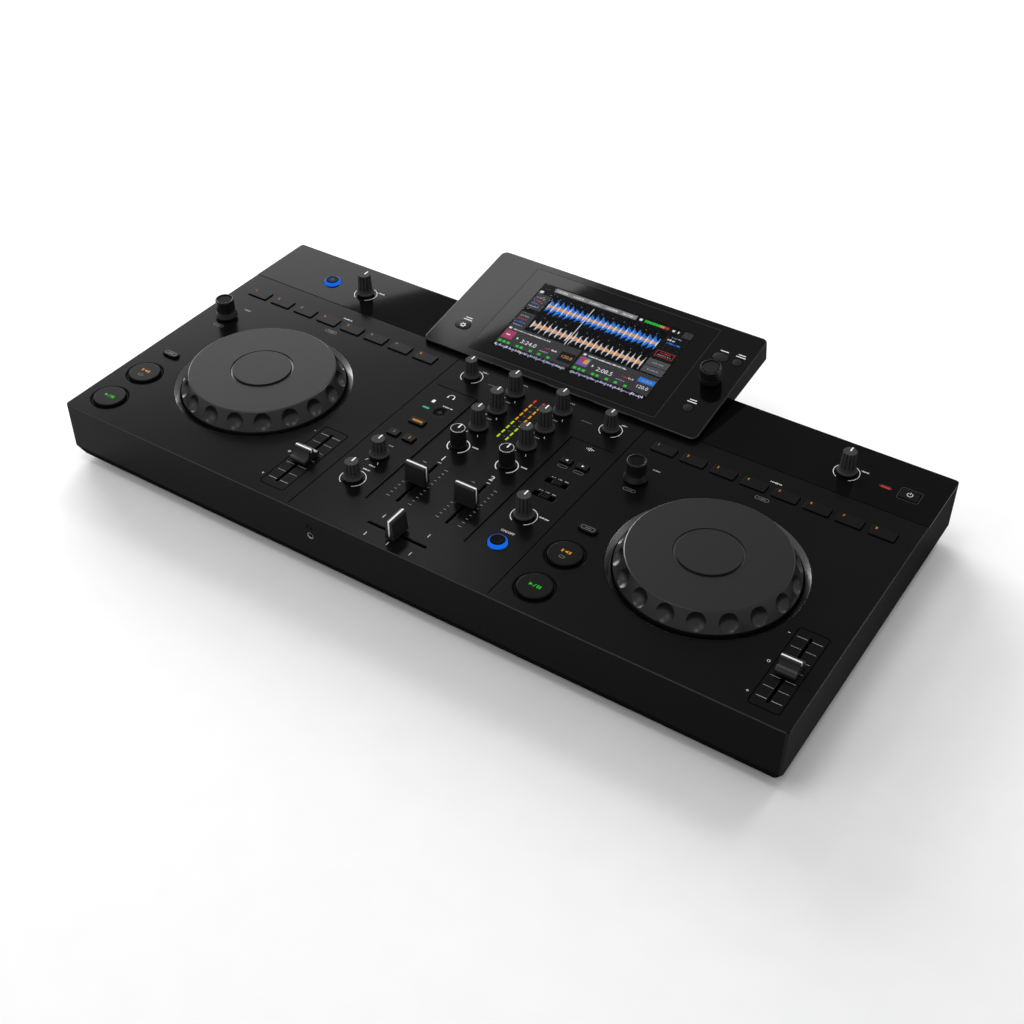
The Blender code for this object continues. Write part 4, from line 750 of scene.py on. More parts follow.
# %% The case shell
CASE_RIM = 0.6 * MM
CASE_CORNER = 3 * MM
WALL_FOOT = TOP - 39.6 * MM
STRIP_SEAT = 1.7 * MM
SEAT_SPARE = 0.3 * MM
JACK_HOLE = 3.2 * MM
HOLE_DEPTH = 12 * MM
PHONO_HOLE = 6.6 * MM
PHONO_SPOTS = (179 * MM, 199 * MM)
MINI_HOLE = 4 * MM
MINI_SPOT = 153 * MM
USB_HALF = Vector((4.5 * MM, 1.65 * MM))
USB_SPOT = 259 * MM
FACING_FRONT = Matrix.Rotation(math.radians(90), 4, "X")
FACING_BACK = Matrix.Rotation(math.radians(-90), 4, "X")
left, right, back = case_low.x, case_high.x, case_high.y
seam = strip_low.y - SEAT_SPARE


def plug(radius):
    """A round solid that cuts a hole for a socket."""
    return turned([(0, -HOLE_DEPTH, 0), (radius, -HOLE_DEPTH, 0), (radius, CASE_RIM, 0), (0, CASE_RIM, 0)], 32)


jack_low, jack_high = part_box("headphone_socket")
jack_x, _, jack_z = (jack_low + jack_high) / 2
socket_low, socket_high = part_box("jack_board")
socket_z = (socket_low.z + socket_high.z) / 2
front_corners = [(left, FRONT, CASE_CORNER), (right, FRONT, CASE_CORNER), (right, seam, 0), (left, seam, 0)]
rear_corners = [(left, seam, 0), (right, seam, 0), (right, back, CASE_CORNER), (left, back, CASE_CORNER)]
field = sheet(softened(front_corners, 6, True), field_openings, WALL_FOOT, TOP, CASE_RIM)
rear = sheet(softened(rear_corners, 6, True), strip_openings, WALL_FOOT, TOP - STRIP_SEAT, SEAT_SPARE)
cuts.append(moved(laid(plug(JACK_HOLE), FACING_FRONT), (jack_x, FRONT, jack_z)))
rear_cuts = []
for x, radius in ((PHONO_SPOTS[0], PHONO_HOLE), (PHONO_SPOTS[1], PHONO_HOLE), (MINI_SPOT, MINI_HOLE)):
    rear_cuts.append(moved(laid(plug(radius), FACING_BACK), (x, back, socket_z)))
usb_room = sheet(oblong(0, 0, USB_HALF.x + GAP, USB_HALF.y + GAP, USB_HALF.y), [], -HOLE_DEPTH, CASE_RIM)
rear_cuts.append(moved(laid(usb_room, FACING_BACK), (USB_SPOT, back, socket_z)))
whole = gathered([carved(field, cuts), carved(rear, rear_cuts)])
shell = keep("case_shell", whole, case_black, stands_for=("upper_case",), smooth=14)
print("case shell:", len(shell.data.polygons), "faces")

# %% [markdown]
# The base is a shallow tray whose sides lean in below the walls, so the controller seems to float above the
# table on four round rubber feet. Screws hold it from below, each in a small seat.

# %% Base tray, feet and screws
BASE_LEAN = 4 * MM
FOOT_RADIUS = 11 * MM
FOOT_HEIGHT = 5 * MM
SCREW_SEAT = 3.4 * MM
SCREW_DEPTH = 2 * MM
HEAD_HEIGHT = 1.4 * MM
feet = [Vector(mount["pos_m"]) for mount in frame["record"]["mounts"]]
tray_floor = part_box("lower_case")[0].z + FOOT_HEIGHT
tray = block((left, FRONT, tray_floor), (right, back, WALL_FOOT), CASE_CORNER)
middle_y = (FRONT + back) / 2
for vert in tray.verts:
    if vert.co.z < tray_floor + MERGE:
        vert.co.x -= math.copysign(BASE_LEAN, vert.co.x)
        vert.co.y -= math.copysign(BASE_LEAN, vert.co.y - middle_y)
seat = [(0, -SCREW_DEPTH, 0), (SCREW_SEAT, -SCREW_DEPTH, 0), (SCREW_SEAT, SCREW_DEPTH, 0), (0, SCREW_DEPTH, 0)]
head = [(0, 0.3 * MM, 0), (1.1 * MM, 0.3 * MM, 0.2 * MM), (1.2 * MM, -0.2 * MM, 0.1 * MM),
        (2.6 * MM, 0, 0.3 * MM), (2.8 * MM, HEAD_HEIGHT, 0), (0, HEAD_HEIGHT, 0)]
foot = [(0, 0, 0), (FOOT_RADIUS - 2 * MM, 0, 0.6 * MM), (FOOT_RADIUS, 2 * MM, 1 * MM),
        (FOOT_RADIUS, FOOT_HEIGHT, 0), (0, FOOT_HEIGHT, 0)]
screw_spots = [(x * MM, FRONT + y * MM) for x in (-285, -90, 90, 285) for y in (20, 150, 268)]
seats = [moved(turned(seat, 24), (x, y, tray_floor)) for x, y in screw_spots]
screws = [moved(turned(head, 24, 2), (x, y, tray_floor + SCREW_DEPTH - HEAD_HEIGHT)) for x, y in screw_spots]
keep("base_tray", carved(tray, seats), base_black, stands_for=("lower_case",), smooth=14)
keep("base_screws", gathered(screws), nickel)
keep("rubber_feet", gathered([moved(turned(foot, 40), place) for place in feet]), foot_rubber)
print("base tray with", len(feet), "feet and", len(screw_spots), "screws")

# %% [markdown]
# The polished strip lies in its seat flush with the panel. Its edges are hardly rounded, so that the seam
# reads as one fine line, and its gloss mirrors what stands behind it.

# %% Polished strip
LED_CHANNEL = Vector((262.4 * MM, 251.1 * MM))
LED_CHANNEL_HALF = Vector((4.2 * MM, 1.1 * MM))
STRIP_RIM = 0.2 * MM
strip_corners = [(strip_low.x, strip_low.y, 0), (strip_high.x, strip_low.y, 0),
                 (strip_high.x, strip_high.y, CASE_CORNER), (strip_low.x, strip_high.y, CASE_CORNER)]
channel = oblong(LED_CHANNEL.x, FRONT + LED_CHANNEL.y, *LED_CHANNEL_HALF, LED_CHANNEL_HALF.y)
strip = sheet(softened(strip_corners, 6, True), strip_openings + [channel], strip_low.z, strip_high.z, STRIP_RIM)
keep("polished_strip", strip, strip_gloss, stands_for=("rear_gloss_panel",), smooth=14)
print("strip: %.1f mm deep" % ((strip_high.y - strip_low.y) / MM))

# %% [markdown]
# Each jog wheel sits in a round well. Its mouth is a turned metal ring with a wide chamfer: the fine
# grooves that the lathe leaves spread the light along the chamfer, which is why a bright crescent shows
# beside the wheel. Below it the wall is plain and dark.

# %% Jog wells
WELL_FLOOR = -9 * MM
WELL_BACK = -11 * MM
WELL_BORE = 20 * MM
CHAMFER = 4.1 * MM
CHAMFER_DROP = 2.2 * MM
mouth = Finish("well_mouth", grey(0.055), 0.2, metallic=1.0)
lathe = mouth.grain(0.3 * MM, 4)
mouth.vary("Roughness", 0.18 + lathe * 0.08)
for side in SIDES:
    place = spot(f"jog_wheel_{side}")
    foot = WELL_RIM - CHAMFER
    profile = [(WELL_RIM, -CHAMFER, 0), (WELL_RIM, 0, 0.05 * MM), (foot, -CHAMFER_DROP, 0.2 * MM), (foot, -CHAMFER, 0)]
    keep(f"jog_mouth_{side}", moved(turned(profile, 144, closed=True), place), mouth.material)
    profile = [(WELL_RIM, WELL_BACK, 0), (WELL_RIM, -CHAMFER, 0), (foot + 0.2 * MM, -CHAMFER, 0),
               (foot, WELL_FLOOR, 0.6 * MM), (WELL_BORE, WELL_FLOOR, 0), (WELL_BORE, WELL_BACK, 0)]
    keep(f"jog_well_{side}", moved(turned(profile, 144, closed=True), place), hole_black)
print("jog wells:", len(SIDES))

# %% [markdown]
# Round buttons stand in shallow dishes in the panel, which guide a finger to them. Each dish is a turned ring.

# %% Button surrounds
SURROUND_FLOOR = -0.9 * MM
SURROUND_BACK = -4 * MM
surrounded = [node for node in button_nodes if surround_radius(node)]
for node in surrounded:
    bore = cap_size(node)[0] + GAP
    slope = min(1.4 * MM, (surround_radius(node) - bore) / 2)
    profile = [(surround_radius(node), SURROUND_BACK, 0), (surround_radius(node), -0.05 * MM, 0.1 * MM),
               (bore + slope, SURROUND_FLOOR, 0.4 * MM), (bore, SURROUND_FLOOR, 0.1 * MM), (bore, SURROUND_BACK, 0)]
    ring = moved(turned(profile, 72, closed=True), spot(node))
    keep(f"{node}_surround", ring, case_black)
print("surrounds:", len(surrounded))

# %% [markdown]
# ## Jog wheels
# The jog wheel is the part a hand meets most: a flat disc on a steep cone with finger dimples round it. It
# is turned first, and the dimples are then cut with eighteen spheres, since a ball-nosed cutter leaves
# just that shape in a mould. A groove sets off the centre, which stands a little proud.

# %% Jog wheels
JOG_TOP_RADIUS = 57.2 * MM
JOG_TOP = 13.4 * MM
JOG_FOOT = -0.2 * MM
JOG_UNDER = -6 * MM
JOG_NECK = 18 * MM
GROOVE_RADIUS = 23.8 * MM
JOG_GROOVE_HALF = 0.9 * MM
JOG_GROOVE_DEPTH = 0.9 * MM
CENTRE_PROUD = 0.8 * MM
DIMPLES = 18
DIMPLE_RADIUS = 7 * MM
DIMPLE_DEPTH = 3.2 * MM
JOG_EDGE = 0.12 * MM
BALL = (DIMPLE_RADIUS**2 + DIMPLE_DEPTH**2) / (2 * DIMPLE_DEPTH)


def jog_shape(radius):
    profile = [
        (0, JOG_TOP + CENTRE_PROUD, 0),
        (GROOVE_RADIUS - JOG_GROOVE_HALF, JOG_TOP + CENTRE_PROUD, 0.4 * MM),
        (GROOVE_RADIUS - JOG_GROOVE_HALF, JOG_TOP - JOG_GROOVE_DEPTH, 0.1 * MM),
        (GROOVE_RADIUS + JOG_GROOVE_HALF / 2, JOG_TOP - JOG_GROOVE_DEPTH, 0.2 * MM),
        (GROOVE_RADIUS + JOG_GROOVE_HALF, JOG_TOP, 0.15 * MM),
        (JOG_TOP_RADIUS - 0.9 * MM, JOG_TOP, 0.25 * MM),
        (JOG_TOP_RADIUS, JOG_TOP - 0.55 * MM, 0.25 * MM),
        (radius, JOG_FOOT, 0.6 * MM),
        (radius, JOG_UNDER + 0.8 * MM, 0.3 * MM),
        (radius - 0.8 * MM, JOG_UNDER, 0.2 * MM),
        (JOG_NECK, JOG_UNDER, 0),
        (JOG_NECK, WELL_BACK, 0),
        (0, WELL_BACK, 0),
    ]
    wheel = turned(profile, 180)
    cone = Vector((radius - JOG_TOP_RADIUS, JOG_FOOT - JOG_TOP)).normalized()
    out = Vector((-cone.y, cone.x))
    middle = Vector(((radius + JOG_TOP_RADIUS) / 2, (JOG_FOOT + JOG_TOP) / 2))
    centre = middle + out * (BALL - DIMPLE_DEPTH)
    balls = []
    for index in range(DIMPLES):
        ball = bmesh.new()
        bmesh.ops.create_uvsphere(ball, u_segments=40, v_segments=24, radius=BALL)
        angle = index * math.tau / DIMPLES - math.pi / 2
        balls.append(moved(ball, (centre.x * math.cos(angle), centre.x * math.sin(angle), centre.y)))
    return carved(wheel, balls)


print("dimples: a ball of %.1f mm, %.1f mm deep" % (BALL / MM, DIMPLE_DEPTH / MM))

# %% [markdown]
# The flat top of the wheel is matt, while the cone below it is darker and smoother. A step in the height of
# the point that is shaded tells them apart, so one material serves for both.

# %% Finish of the jog wheels
jog = Finish("jog_satin", grey(0.02), 0.5, 0.035)
jog_point = jog.node("ShaderNodeTexCoord", {}, {}, "Object")
height = jog.node("ShaderNodeSeparateXYZ", {}, {"Vector": jog_point}, "Z")
flat = jog.node("ShaderNodeMath", {"operation": "GREATER_THAN"}, {0: height, 1: TOP + JOG_TOP - JOG_EDGE})
speckle = jog.grain(0.5 * MM)
jog.vary("Base Color", jog.tint(grey(0.006), grey(0.019), flat * 0.8 + speckle * 0.2))
jog.vary("Roughness", 0.34 + flat * 0.16 + (speckle - 0.5) * 0.1)
jog.vary("Coat Weight", 0.48 - flat * 0.48)
jog.set("Coat Roughness", 0.33)
jog.relief(speckle, 0.008 * MM)
for side in SIDES:
    node = f"jog_wheel_{side}"
    wheel = moved(jog_shape(half(node).x), spot(node))
    made = keep(node + "_disc", wheel, jog.material, node, (node,), smooth=22)
print("jog wheel:", len(made.data.polygons), "faces,", DIMPLES, "dimples")

# %% [markdown]
# ## Knobs
# Every knob is a fluted grip on a flared collar, with a white pointer set into its top. The filter knobs
# differ: they have no collar, a bright ring round the top and finer flutes. Each kind is turned from a
# profile of its own, and the flutes are pressed in afterwards by moving the points of the grip.

# %% Shapes of the knobs
KNOB_FLOAT = 1.6 * MM
POINTER_WIDTH = 1.1 * MM
POINTER_THICK = 0.2 * MM
SHAFT_RADIUS = 2.9 * MM
SHAFT_END = -8 * MM
FLUTES = 12
FLUTE_DEPTH = 1.2 * MM
GRIP_SHARE = 0.775
CROWN_SHARE = 0.87


def pointer(crown, height, start, body_side):
    """A white bar on top of a knob, which runs over its rear edge."""
    wide = POINTER_WIDTH / 2
    top = block((-wide, start, height - POINTER_THICK), (wide, crown, height + POINTER_THICK / 2), 0, 0.05 * MM)
    side = block((-wide, crown - POINTER_THICK, height - body_side), (wide, crown + POINTER_THICK, height - 0.1 * MM))
    return gathered([top, side])


def thin_disc(radius, height):
    """A dark inlay that lies on top of a cap."""
    low, high = height - 0.06 * MM, height + 0.06 * MM
    return turned([(0, high, 0), (radius, high, 0), (radius, low, 0), (0, low, 0)], 64)


def collared_knob(collar, height):
    """A fluted grip on a collar that flares out over the panel."""
    grip = collar * GRIP_SHARE
    crown = grip * CROWN_SHARE
    skirt = KNOB_FLOAT + 1.3 * MM
    flare = skirt + 3 * MM
    profile = [
        (0, height, 0),
        (crown, height, 0.4 * MM),
        (grip, flare, 1 * MM),
        (grip + 0.35 * (collar - grip), skirt + 0.8 * MM, 0.8 * MM),
        (collar - 0.3 * MM, skirt + 0.15 * MM, 0.2 * MM),
        (collar, skirt - 0.3 * MM, 0.12 * MM),
        (collar - 0.2 * MM, KNOB_FLOAT, 0.1 * MM),
        (SHAFT_RADIUS, KNOB_FLOAT, 0),
        (SHAFT_RADIUS, SHAFT_END, 0),
        (0, SHAFT_END, 0),
    ]
    low = flare + 0.1 * MM
    shape = fluted(turned(profile, FLUTES * 14), FLUTES, FLUTE_DEPTH, low, height - 0.1 * MM, 7)
    return shape, crown


def filter_knob(radius, height):
    """A plain fluted knob, without a collar."""
    crown = radius * 0.86
    profile = [
        (0, height, 0),
        (crown, height, 0.35 * MM),
        (radius * 0.97, 2.8 * MM, 0.3 * MM),
        (radius, 2.3 * MM, 0.2 * MM),
        (radius - 0.2 * MM, KNOB_FLOAT, 0.1 * MM),
        (SHAFT_RADIUS, KNOB_FLOAT, 0),
        (SHAFT_RADIUS, SHAFT_END, 0),
        (0, SHAFT_END, 0),
    ]
    count = FLUTES + 4
    shape = fluted(turned(profile, count * 12), count, FLUTE_DEPTH * 0.7, 2.6 * MM, height - 0.6 * MM, 4)
    return shape, crown


print("knobs to make:", len(knob_nodes))

# %% [markdown]
# The frame says where each knob stands and how wide and tall it is, so one loop makes all of them. The
# pointer is a piece of its own colour that rides on the same body.

# %% Knobs with pointers
for node in knob_nodes:
    place = spot(node)
    height = rise(node)
    collar = half(node).x
    if node.startswith("filter"):
        shape, crown = filter_knob(collar, height)
        finish = knob_black
        high = height + 0.08 * MM
        profile = [(crown - 0.45 * MM, height - 0.3 * MM, 0), (crown - 0.45 * MM, high, 0.04 * MM),
                   (crown - 0.05 * MM, high, 0.06 * MM), (crown + 0.1 * MM, height - 0.35 * MM, 0.05 * MM),
                   (crown - 0.3 * MM, height - 0.5 * MM, 0)]
        ring = turned(profile, 64, 2, True)
        keep(f"{node}_ring", moved(ring, place), dark_nickel, node)
        keep(f"{node}_top", moved(thin_disc(crown - 0.55 * MM, height), place), crown_black, node)
    else:
        shape, crown = collared_knob(collar, height)
        finish = knob_grey
    keep(f"{node}_grip", moved(shape, place), finish, node, (node,))
    keep(f"{node}_pointer", moved(pointer(crown, height, 0.3 * MM, 3.5 * MM), place), white_ink, node)
print(len(knob_nodes), "knobs with pointers")

# %% [markdown]
# The encoders turn without end, so they carry no pointer. The upper part has a fine knurl, and its rim stands
# round a plain inlay. Below it the body draws in to a waist and then flares out to a skirt. The browse encoder
# stands on the display's slope, so its shape is made upright and then laid on the slope.

# %% Shape of an encoder
DISPLAY_TILT = math.radians(10.2)
DISPLAY_FRONT = 220 * MM
DISPLAY_LIP = 3.7 * MM
SLOPE = Matrix.Translation((0, FRONT + DISPLAY_FRONT, TOP + DISPLAY_LIP)) @ Matrix.Rotation(DISPLAY_TILT, 4, "X")
BROWSE_SPOT = Vector((105.4 * MM, 60.8 * MM, 0))
BROWSE_HEIGHT = 15.6 * MM
LOOP_CROWN = 7.5 * MM
LOOP_FOOT = 9.3 * MM
BROWSE_CROWN = 8.4 * MM
INLAY = 2.4 * MM
SUNK = 0.6 * MM
KNURL = 36
KNURL_DEPTH = 0.3 * MM


def encoder(crown, height, waist, foot):
    """A knurled cap with a rim round its sunken top, a waist, and a skirt that widens to the foot."""
    profile = [
        (0, height - SUNK, 0),
        (crown - 2.3 * MM, height - SUNK, 0.2 * MM),
        (crown - 2.1 * MM, height - 1.6 * MM, 0.15 * MM),
        (crown - 1.3 * MM, height - 1.6 * MM, 0.15 * MM),
        (crown - 1 * MM, height, 0.2 * MM),
        (crown - 0.5 * MM, height, 0.25 * MM),
        (crown, height - 0.9 * MM, 0.4 * MM),
        (crown + 0.25 * MM, waist + 1.2 * MM, 0.3 * MM),
        (crown - 0.3 * MM, waist, 0.5 * MM),
        (foot, KNOB_FLOAT + 1.2 * MM, 0.8 * MM),
        (foot - 0.5 * MM, KNOB_FLOAT, 0.3 * MM),
        (SHAFT_RADIUS + 0.4 * MM, KNOB_FLOAT, 0),
        (SHAFT_RADIUS + 0.4 * MM, -1 * MM, 0),
        (0, -1 * MM, 0),
    ]
    shape = turned(profile, KNURL * 6)
    return fluted(shape, KNURL, KNURL_DEPTH, waist + 1.3 * MM, height - 1.4 * MM, 2)


print("knurl: %.1f mm deep" % (KNURL_DEPTH / MM))

# %% [markdown]
# Each deck has one encoder for loops, and the third one is for browsing.

# %% Encoders
for side in SIDES:
    node = f"loop_encoder_{side}"
    height = rise(node)
    shape = encoder(LOOP_CROWN, height, height * 0.4, LOOP_FOOT)
    keep(f"{node}_grip", moved(shape, spot(node)), knob_black, node, (node,))
    inlay = thin_disc(LOOP_CROWN - INLAY, height - SUNK)
    keep(f"{node}_top", moved(inlay, spot(node)), crown_black, node)
shape = laid(moved(encoder(BROWSE_CROWN, BROWSE_HEIGHT, BROWSE_HEIGHT * 0.36, BROWSE_CROWN), BROWSE_SPOT), SLOPE)
keep("browse_encoder_grip", shape, knob_black, "browse_encoder", ("browse_encoder",))
inlay = thin_disc(BROWSE_CROWN - INLAY, BROWSE_HEIGHT - SUNK)
keep("browse_encoder_top", laid(moved(inlay, BROWSE_SPOT), SLOPE), key_grey, "browse_encoder")
print("three encoders with", KNURL, "knurls each")

# %% [markdown]
# ## Faders and switches
# A mixer fader's cap is a tall block that tapers to a narrow ridge, with a white line over the ridge and
# down both ends, so that its place can be read from either side. The tempo cap is longer, with slopes on
# both sides of its ridge. A profile is drawn as one face, extruded across, and its edges beveled.

# %% Shapes of the fader caps
CAP_FLOAT = 1.4 * MM
LINE_HALF = 0.6 * MM
LINE_PROUD = 0.08 * MM
LEVER_HALF = 0.7 * MM


def extruded(profile, half_width, rim):
    """A cap whose outline, seen from its end, is a profile of (along, height) points."""
    shape = bmesh.new()
    face = shape.faces.new([shape.verts.new((-half_width, along, height)) for along, height in profile])
    made = bmesh.ops.extrude_face_region(shape, geom=[face])
    verts = [item for item in made["geom"] if isinstance(item, bmesh.types.BMVert)]
    bmesh.ops.translate(shape, vec=(2 * half_width, 0, 0), verts=verts)
    bmesh.ops.recalc_face_normals(shape, faces=shape.faces)
    bmesh.ops.bevel(shape, geom=shape.edges, offset=rim, segments=2, affect="EDGES", profile=0.5, material=-1)
    return shape


def mixer_cap(half_width, half_long, top):
    """A tall block that tapers to a narrow ridge."""
    ridge = half_long * 0.36
    shoulder = top - 1.1 * MM
    profile = [(-half_long, CAP_FLOAT), (half_long, CAP_FLOAT), (half_long * 0.94, CAP_FLOAT + 3 * MM),
               (half_long * 0.6, shoulder), (ridge, top), (-ridge, top), (-half_long * 0.6, shoulder),
               (-half_long * 0.94, CAP_FLOAT + 3 * MM)]
    return extruded(profile, half_width, 0.35 * MM)


def tempo_cap(half_width, half_long, top):
    """A ridge that flows down to a low lip on both sides."""
    lip = CAP_FLOAT + 3 * MM
    side = [(half_long, CAP_FLOAT), (half_long, lip - 0.7 * MM), (half_long - 0.8 * MM, lip),
            (half_long * 0.68, lip + 0.1 * MM), (half_long * 0.45, lip + 0.9 * MM),
            (half_long * 0.3, top - 2.4 * MM), (half_long * 0.24, top - 0.8 * MM), (half_long * 0.2, top)]
    profile = side + [(-along, height) for along, height in reversed(side)]
    return extruded(profile, half_width, 0.3 * MM)


def cap_line(half_width, top, down):
    """The white line over the ridge of a cap and down its two ends."""
    out = half_width + LINE_PROUD
    bars = [block((-out, -LINE_HALF, top - LINE_PROUD), (out, LINE_HALF, top + LINE_PROUD))]
    for sign in BOTH:
        inner, outer = sorted((sign * (half_width - LINE_PROUD), sign * out))
        bars.append(block((inner, -LINE_HALF, top - down), (outer, LINE_HALF, top)))
    return gathered(bars)


print("fader caps to make:", len(fader_nodes))

# %% [markdown]
# A cap is drawn for a fader that slides to and fro. The crossfader slides from side to side, so its cap is
# given a quarter turn. A thin lever goes down from each cap through its slot.

# %% Fader caps
QUARTER = Matrix.Rotation(math.radians(90), 4, "Z")
for node in fader_nodes:
    size = half(node)
    top = rise(node)
    across = bool(JOINTS[node]["axis"][0])
    wide, long = (size.y, size.x) if across else (size.x, size.y)
    is_tempo = node.startswith("tempo")
    cap = (tempo_cap if is_tempo else mixer_cap)(wide, long, top)
    lever = block((-LEVER_HALF, -LEVER_HALF * 1.6, -6 * MM), (LEVER_HALF, LEVER_HALF * 1.6, CAP_FLOAT + 1 * MM))
    line = cap_line(wide, top, 3 * MM if is_tempo else top - CAP_FLOAT - 3 * MM)
    turn = QUARTER if across else Matrix.Identity(4)
    whole = moved(laid(gathered([cap, lever]), turn), spot(node))
    keep(f"{node}_cap", whole, cap_grey, node, (node,), smooth=14)
    keep(f"{node}_line", moved(laid(line, turn), spot(node)), white_ink, node, smooth=14)
print(len(fader_nodes), "fader caps")

# %% [markdown]
# The two effect switches are small levers with ridges for a fingertip, each in an open slot.

# %% Slide switches
SWITCH_X, SWITCH_Y = 4 * MM, 2.2 * MM
RIDGE_HALF = 0.5 * MM
RIDGE_PITCH = 2 * MM
for node in switch_nodes:
    top = rise(node)
    bars = [block((-SWITCH_X, -SWITCH_Y, -3 * MM), (SWITCH_X, SWITCH_Y, top - 0.6 * MM), 0.4 * MM, 0.3 * MM)]
    for x in (-RIDGE_PITCH, 0, RIDGE_PITCH):
        low, high = (x - RIDGE_HALF, -SWITCH_Y * 0.9, 0), (x + RIDGE_HALF, SWITCH_Y * 0.9, top)
        bars.append(block(low, high, 0, 0.25 * MM))
    keep(f"{node}_lever", moved(gathered(bars), spot(node)), button_black, node, (node,))
print(len(switch_nodes), "switch levers")

# %% [markdown]
# ## Buttons and pads
# Buttons are low caps with a soft rim. Round ones are turned and the others are blocks. The effect and
# input buttons have a clear skirt that is lit blue from below, so their dark top is a piece of its own.

# %% Button caps
CAP_ROOT = -4 * MM
LIT_TOP_SHARE = 0.8
LIT_SKIRT = 2 * MM
for node in button_nodes:
    place = spot(node)
    wide, long = cap_size(node)
    top = proud(node)
    if node in ("effect_button", "input_button"):
        inner = wide * LIT_TOP_SHARE
        skirt = [(0, top - 0.6 * MM, 0), (inner + 0.3 * MM, top - 0.6 * MM, 0.2 * MM),
                 (wide, top - LIT_SKIRT, 0.4 * MM), (wide, CAP_ROOT, 0), (0, CAP_ROOT, 0)]
        crown = [(0, top - 0.35 * MM, 0), (inner - 0.8 * MM, top - 0.1 * MM, 0.6 * MM),
                 (inner, top - 0.5 * MM, 0.3 * MM), (inner, top - 1.5 * MM, 0), (0, top - 1.5 * MM, 0)]
        keep(f"{node}_skirt", moved(turned(skirt, 64), place), lamp_blue, node, (node,))
        keep(f"{node}_crown", moved(turned(crown, 64), place), crown_black, node)
        continue
    if abs(wide - long) < GAP:
        rim = 0.9 * MM if node in deck_button_nodes else 1.2 * MM
        shape = turned([(0, top, 0), (wide, top, rim), (wide, CAP_ROOT, 0), (0, CAP_ROOT, 0)], 72, 5)
    else:
        shape = block((-wide, -long, CAP_ROOT), (wide, long, top), cap_corner(node), 0.45 * MM, 8)
    keep(f"{node}_cap", moved(shape, place), button_black, node, (node,), smooth=20)
print(len(button_nodes), "buttons")

# %% [markdown]
# Each deck has a row of eight soft pads. They share one rubber mat below the panel, so one piece holds the
# whole row.

# %% Pads
MAT_TOP = -3.2 * MM
MAT_THICK = 1 * MM
for side in SIDES:
    node = f"pad_bank_{side}"
    top = proud(node)
    size = half(node)
    mat = block((-size.x, -size.y, MAT_TOP - MAT_THICK), (size.x, size.y, MAT_TOP))
    pads = [moved(mat, spot(node))]
    for place in pad_spots(side):
        pad = block((-PAD_HALF.x, -PAD_HALF.y, MAT_TOP), (PAD_HALF.x, PAD_HALF.y, top), PAD_CORNER, 0.4 * MM)
        pads.append(moved(pad, place))
    keep(f"{node}_pads", gathered(pads), pad_rubber, node, (node,), smooth=20)
print(2 * PAD_COUNT, "pads")

# %% [markdown]
# ## The display
# The display is a wedge that lies on the strip and hangs over the back of the case. Its sizes are measured
# on its own sloping face, along the face from the front edge, so they stay plain numbers.

# %% Sizes of the display
DISPLAY_HALF = 124.5 * MM
DISPLAY_LENGTH = 122 * MM
DISPLAY_CORNER = 5.5 * MM
DISPLAY_REAR = 16.9 * MM
UNDERSIDE = 0.3 * MM
OVERHANG_START = 279 * MM
GLASS_HALF = Vector((85.3 * MM, 53.75 * MM))
GLASS_MIDDLE = 61 * MM
GLASS_DEPTH = 1.3 * MM
GLASS_BACK = -0.16 * MM
SCREEN_HALF = Vector((73 * MM, 44 * MM))
SCREEN_MIDDLE = 60.5 * MM
SCREEN_TOP = -0.3 * MM
KEY_GAP = 0.5 * MM
KEYS = {
    "mixer_settings_key": (-103.4 * MM, 27.7 * MM, 6.5 * MM, 4.5 * MM),
    "deck_settings_key": (103.4 * MM, 27.7 * MM, 4 * MM, 4 * MM),
    "back_key": (99.6 * MM, 87.9 * MM, 6.5 * MM, 4.5 * MM),
    "tag_key": (113.7 * MM, 87.9 * MM, 4 * MM, 4 * MM),
}
print("display: %.0f x %.0f mm" % (2 * DISPLAY_HALF / MM, DISPLAY_LENGTH / MM))

# %% [markdown]
# The shell starts as a block with round corners. A Boolean opens the pocket for the glass and the seats of
# the keys while the block still lies flat. It is then laid on its slope, and two plane cuts take off what
# would be inside the case.

# %% Cutting the display shell
BLOCK_DEPTH = 45 * MM
KEY_SEAT = 2.5 * MM
SHAFT_SEAT = 4 * MM
ABOVE = 2 * MM


def sliced(shape, point, outward):
    """Cuts everything off beyond a plane and closes the cut."""
    geom = shape.verts[:] + shape.edges[:] + shape.faces[:]
    made = bmesh.ops.bisect_plane(shape, geom=geom, plane_co=point, plane_no=outward, clear_outer=True)
    edges = [item for item in made["geom_cut"] if isinstance(item, bmesh.types.BMEdge)]
    bmesh.ops.holes_fill(shape, edges=edges)
    return shape


block_low, block_high = (-DISPLAY_HALF, 0, -BLOCK_DEPTH), (DISPLAY_HALF, DISPLAY_LENGTH, 0)
housing = block(block_low, block_high, DISPLAY_CORNER, 0.7 * MM, 8)
pocket_floor = SCREEN_TOP - 2 * MM
glass_room = oblong(0, GLASS_MIDDLE, GLASS_HALF.x + GAP, GLASS_HALF.y + GAP, 1.2 * MM)
screen_room = oblong(0, SCREEN_MIDDLE, SCREEN_HALF.x + GAP, SCREEN_HALF.y + GAP, GAP)
rooms = [sheet(glass_room, [], -GLASS_DEPTH, GLASS_DEPTH)]
for x, s, wide, long in KEYS.values():
    key_room = oblong(x, s, wide + KEY_GAP, long + KEY_GAP, min(wide, long) + KEY_GAP, 8)
    rooms.append(sheet(key_room, [], -KEY_SEAT, ABOVE))
rooms.append(sheet(disc(BROWSE_SPOT.x, BROWSE_SPOT.y, ENCODER_HOLE), [], -SHAFT_SEAT, ABOVE))
housing = carved(carved(housing, rooms), [sheet(screen_room, [], pocket_floor, 0.5 * MM)])
housing = laid(housing, SLOPE)
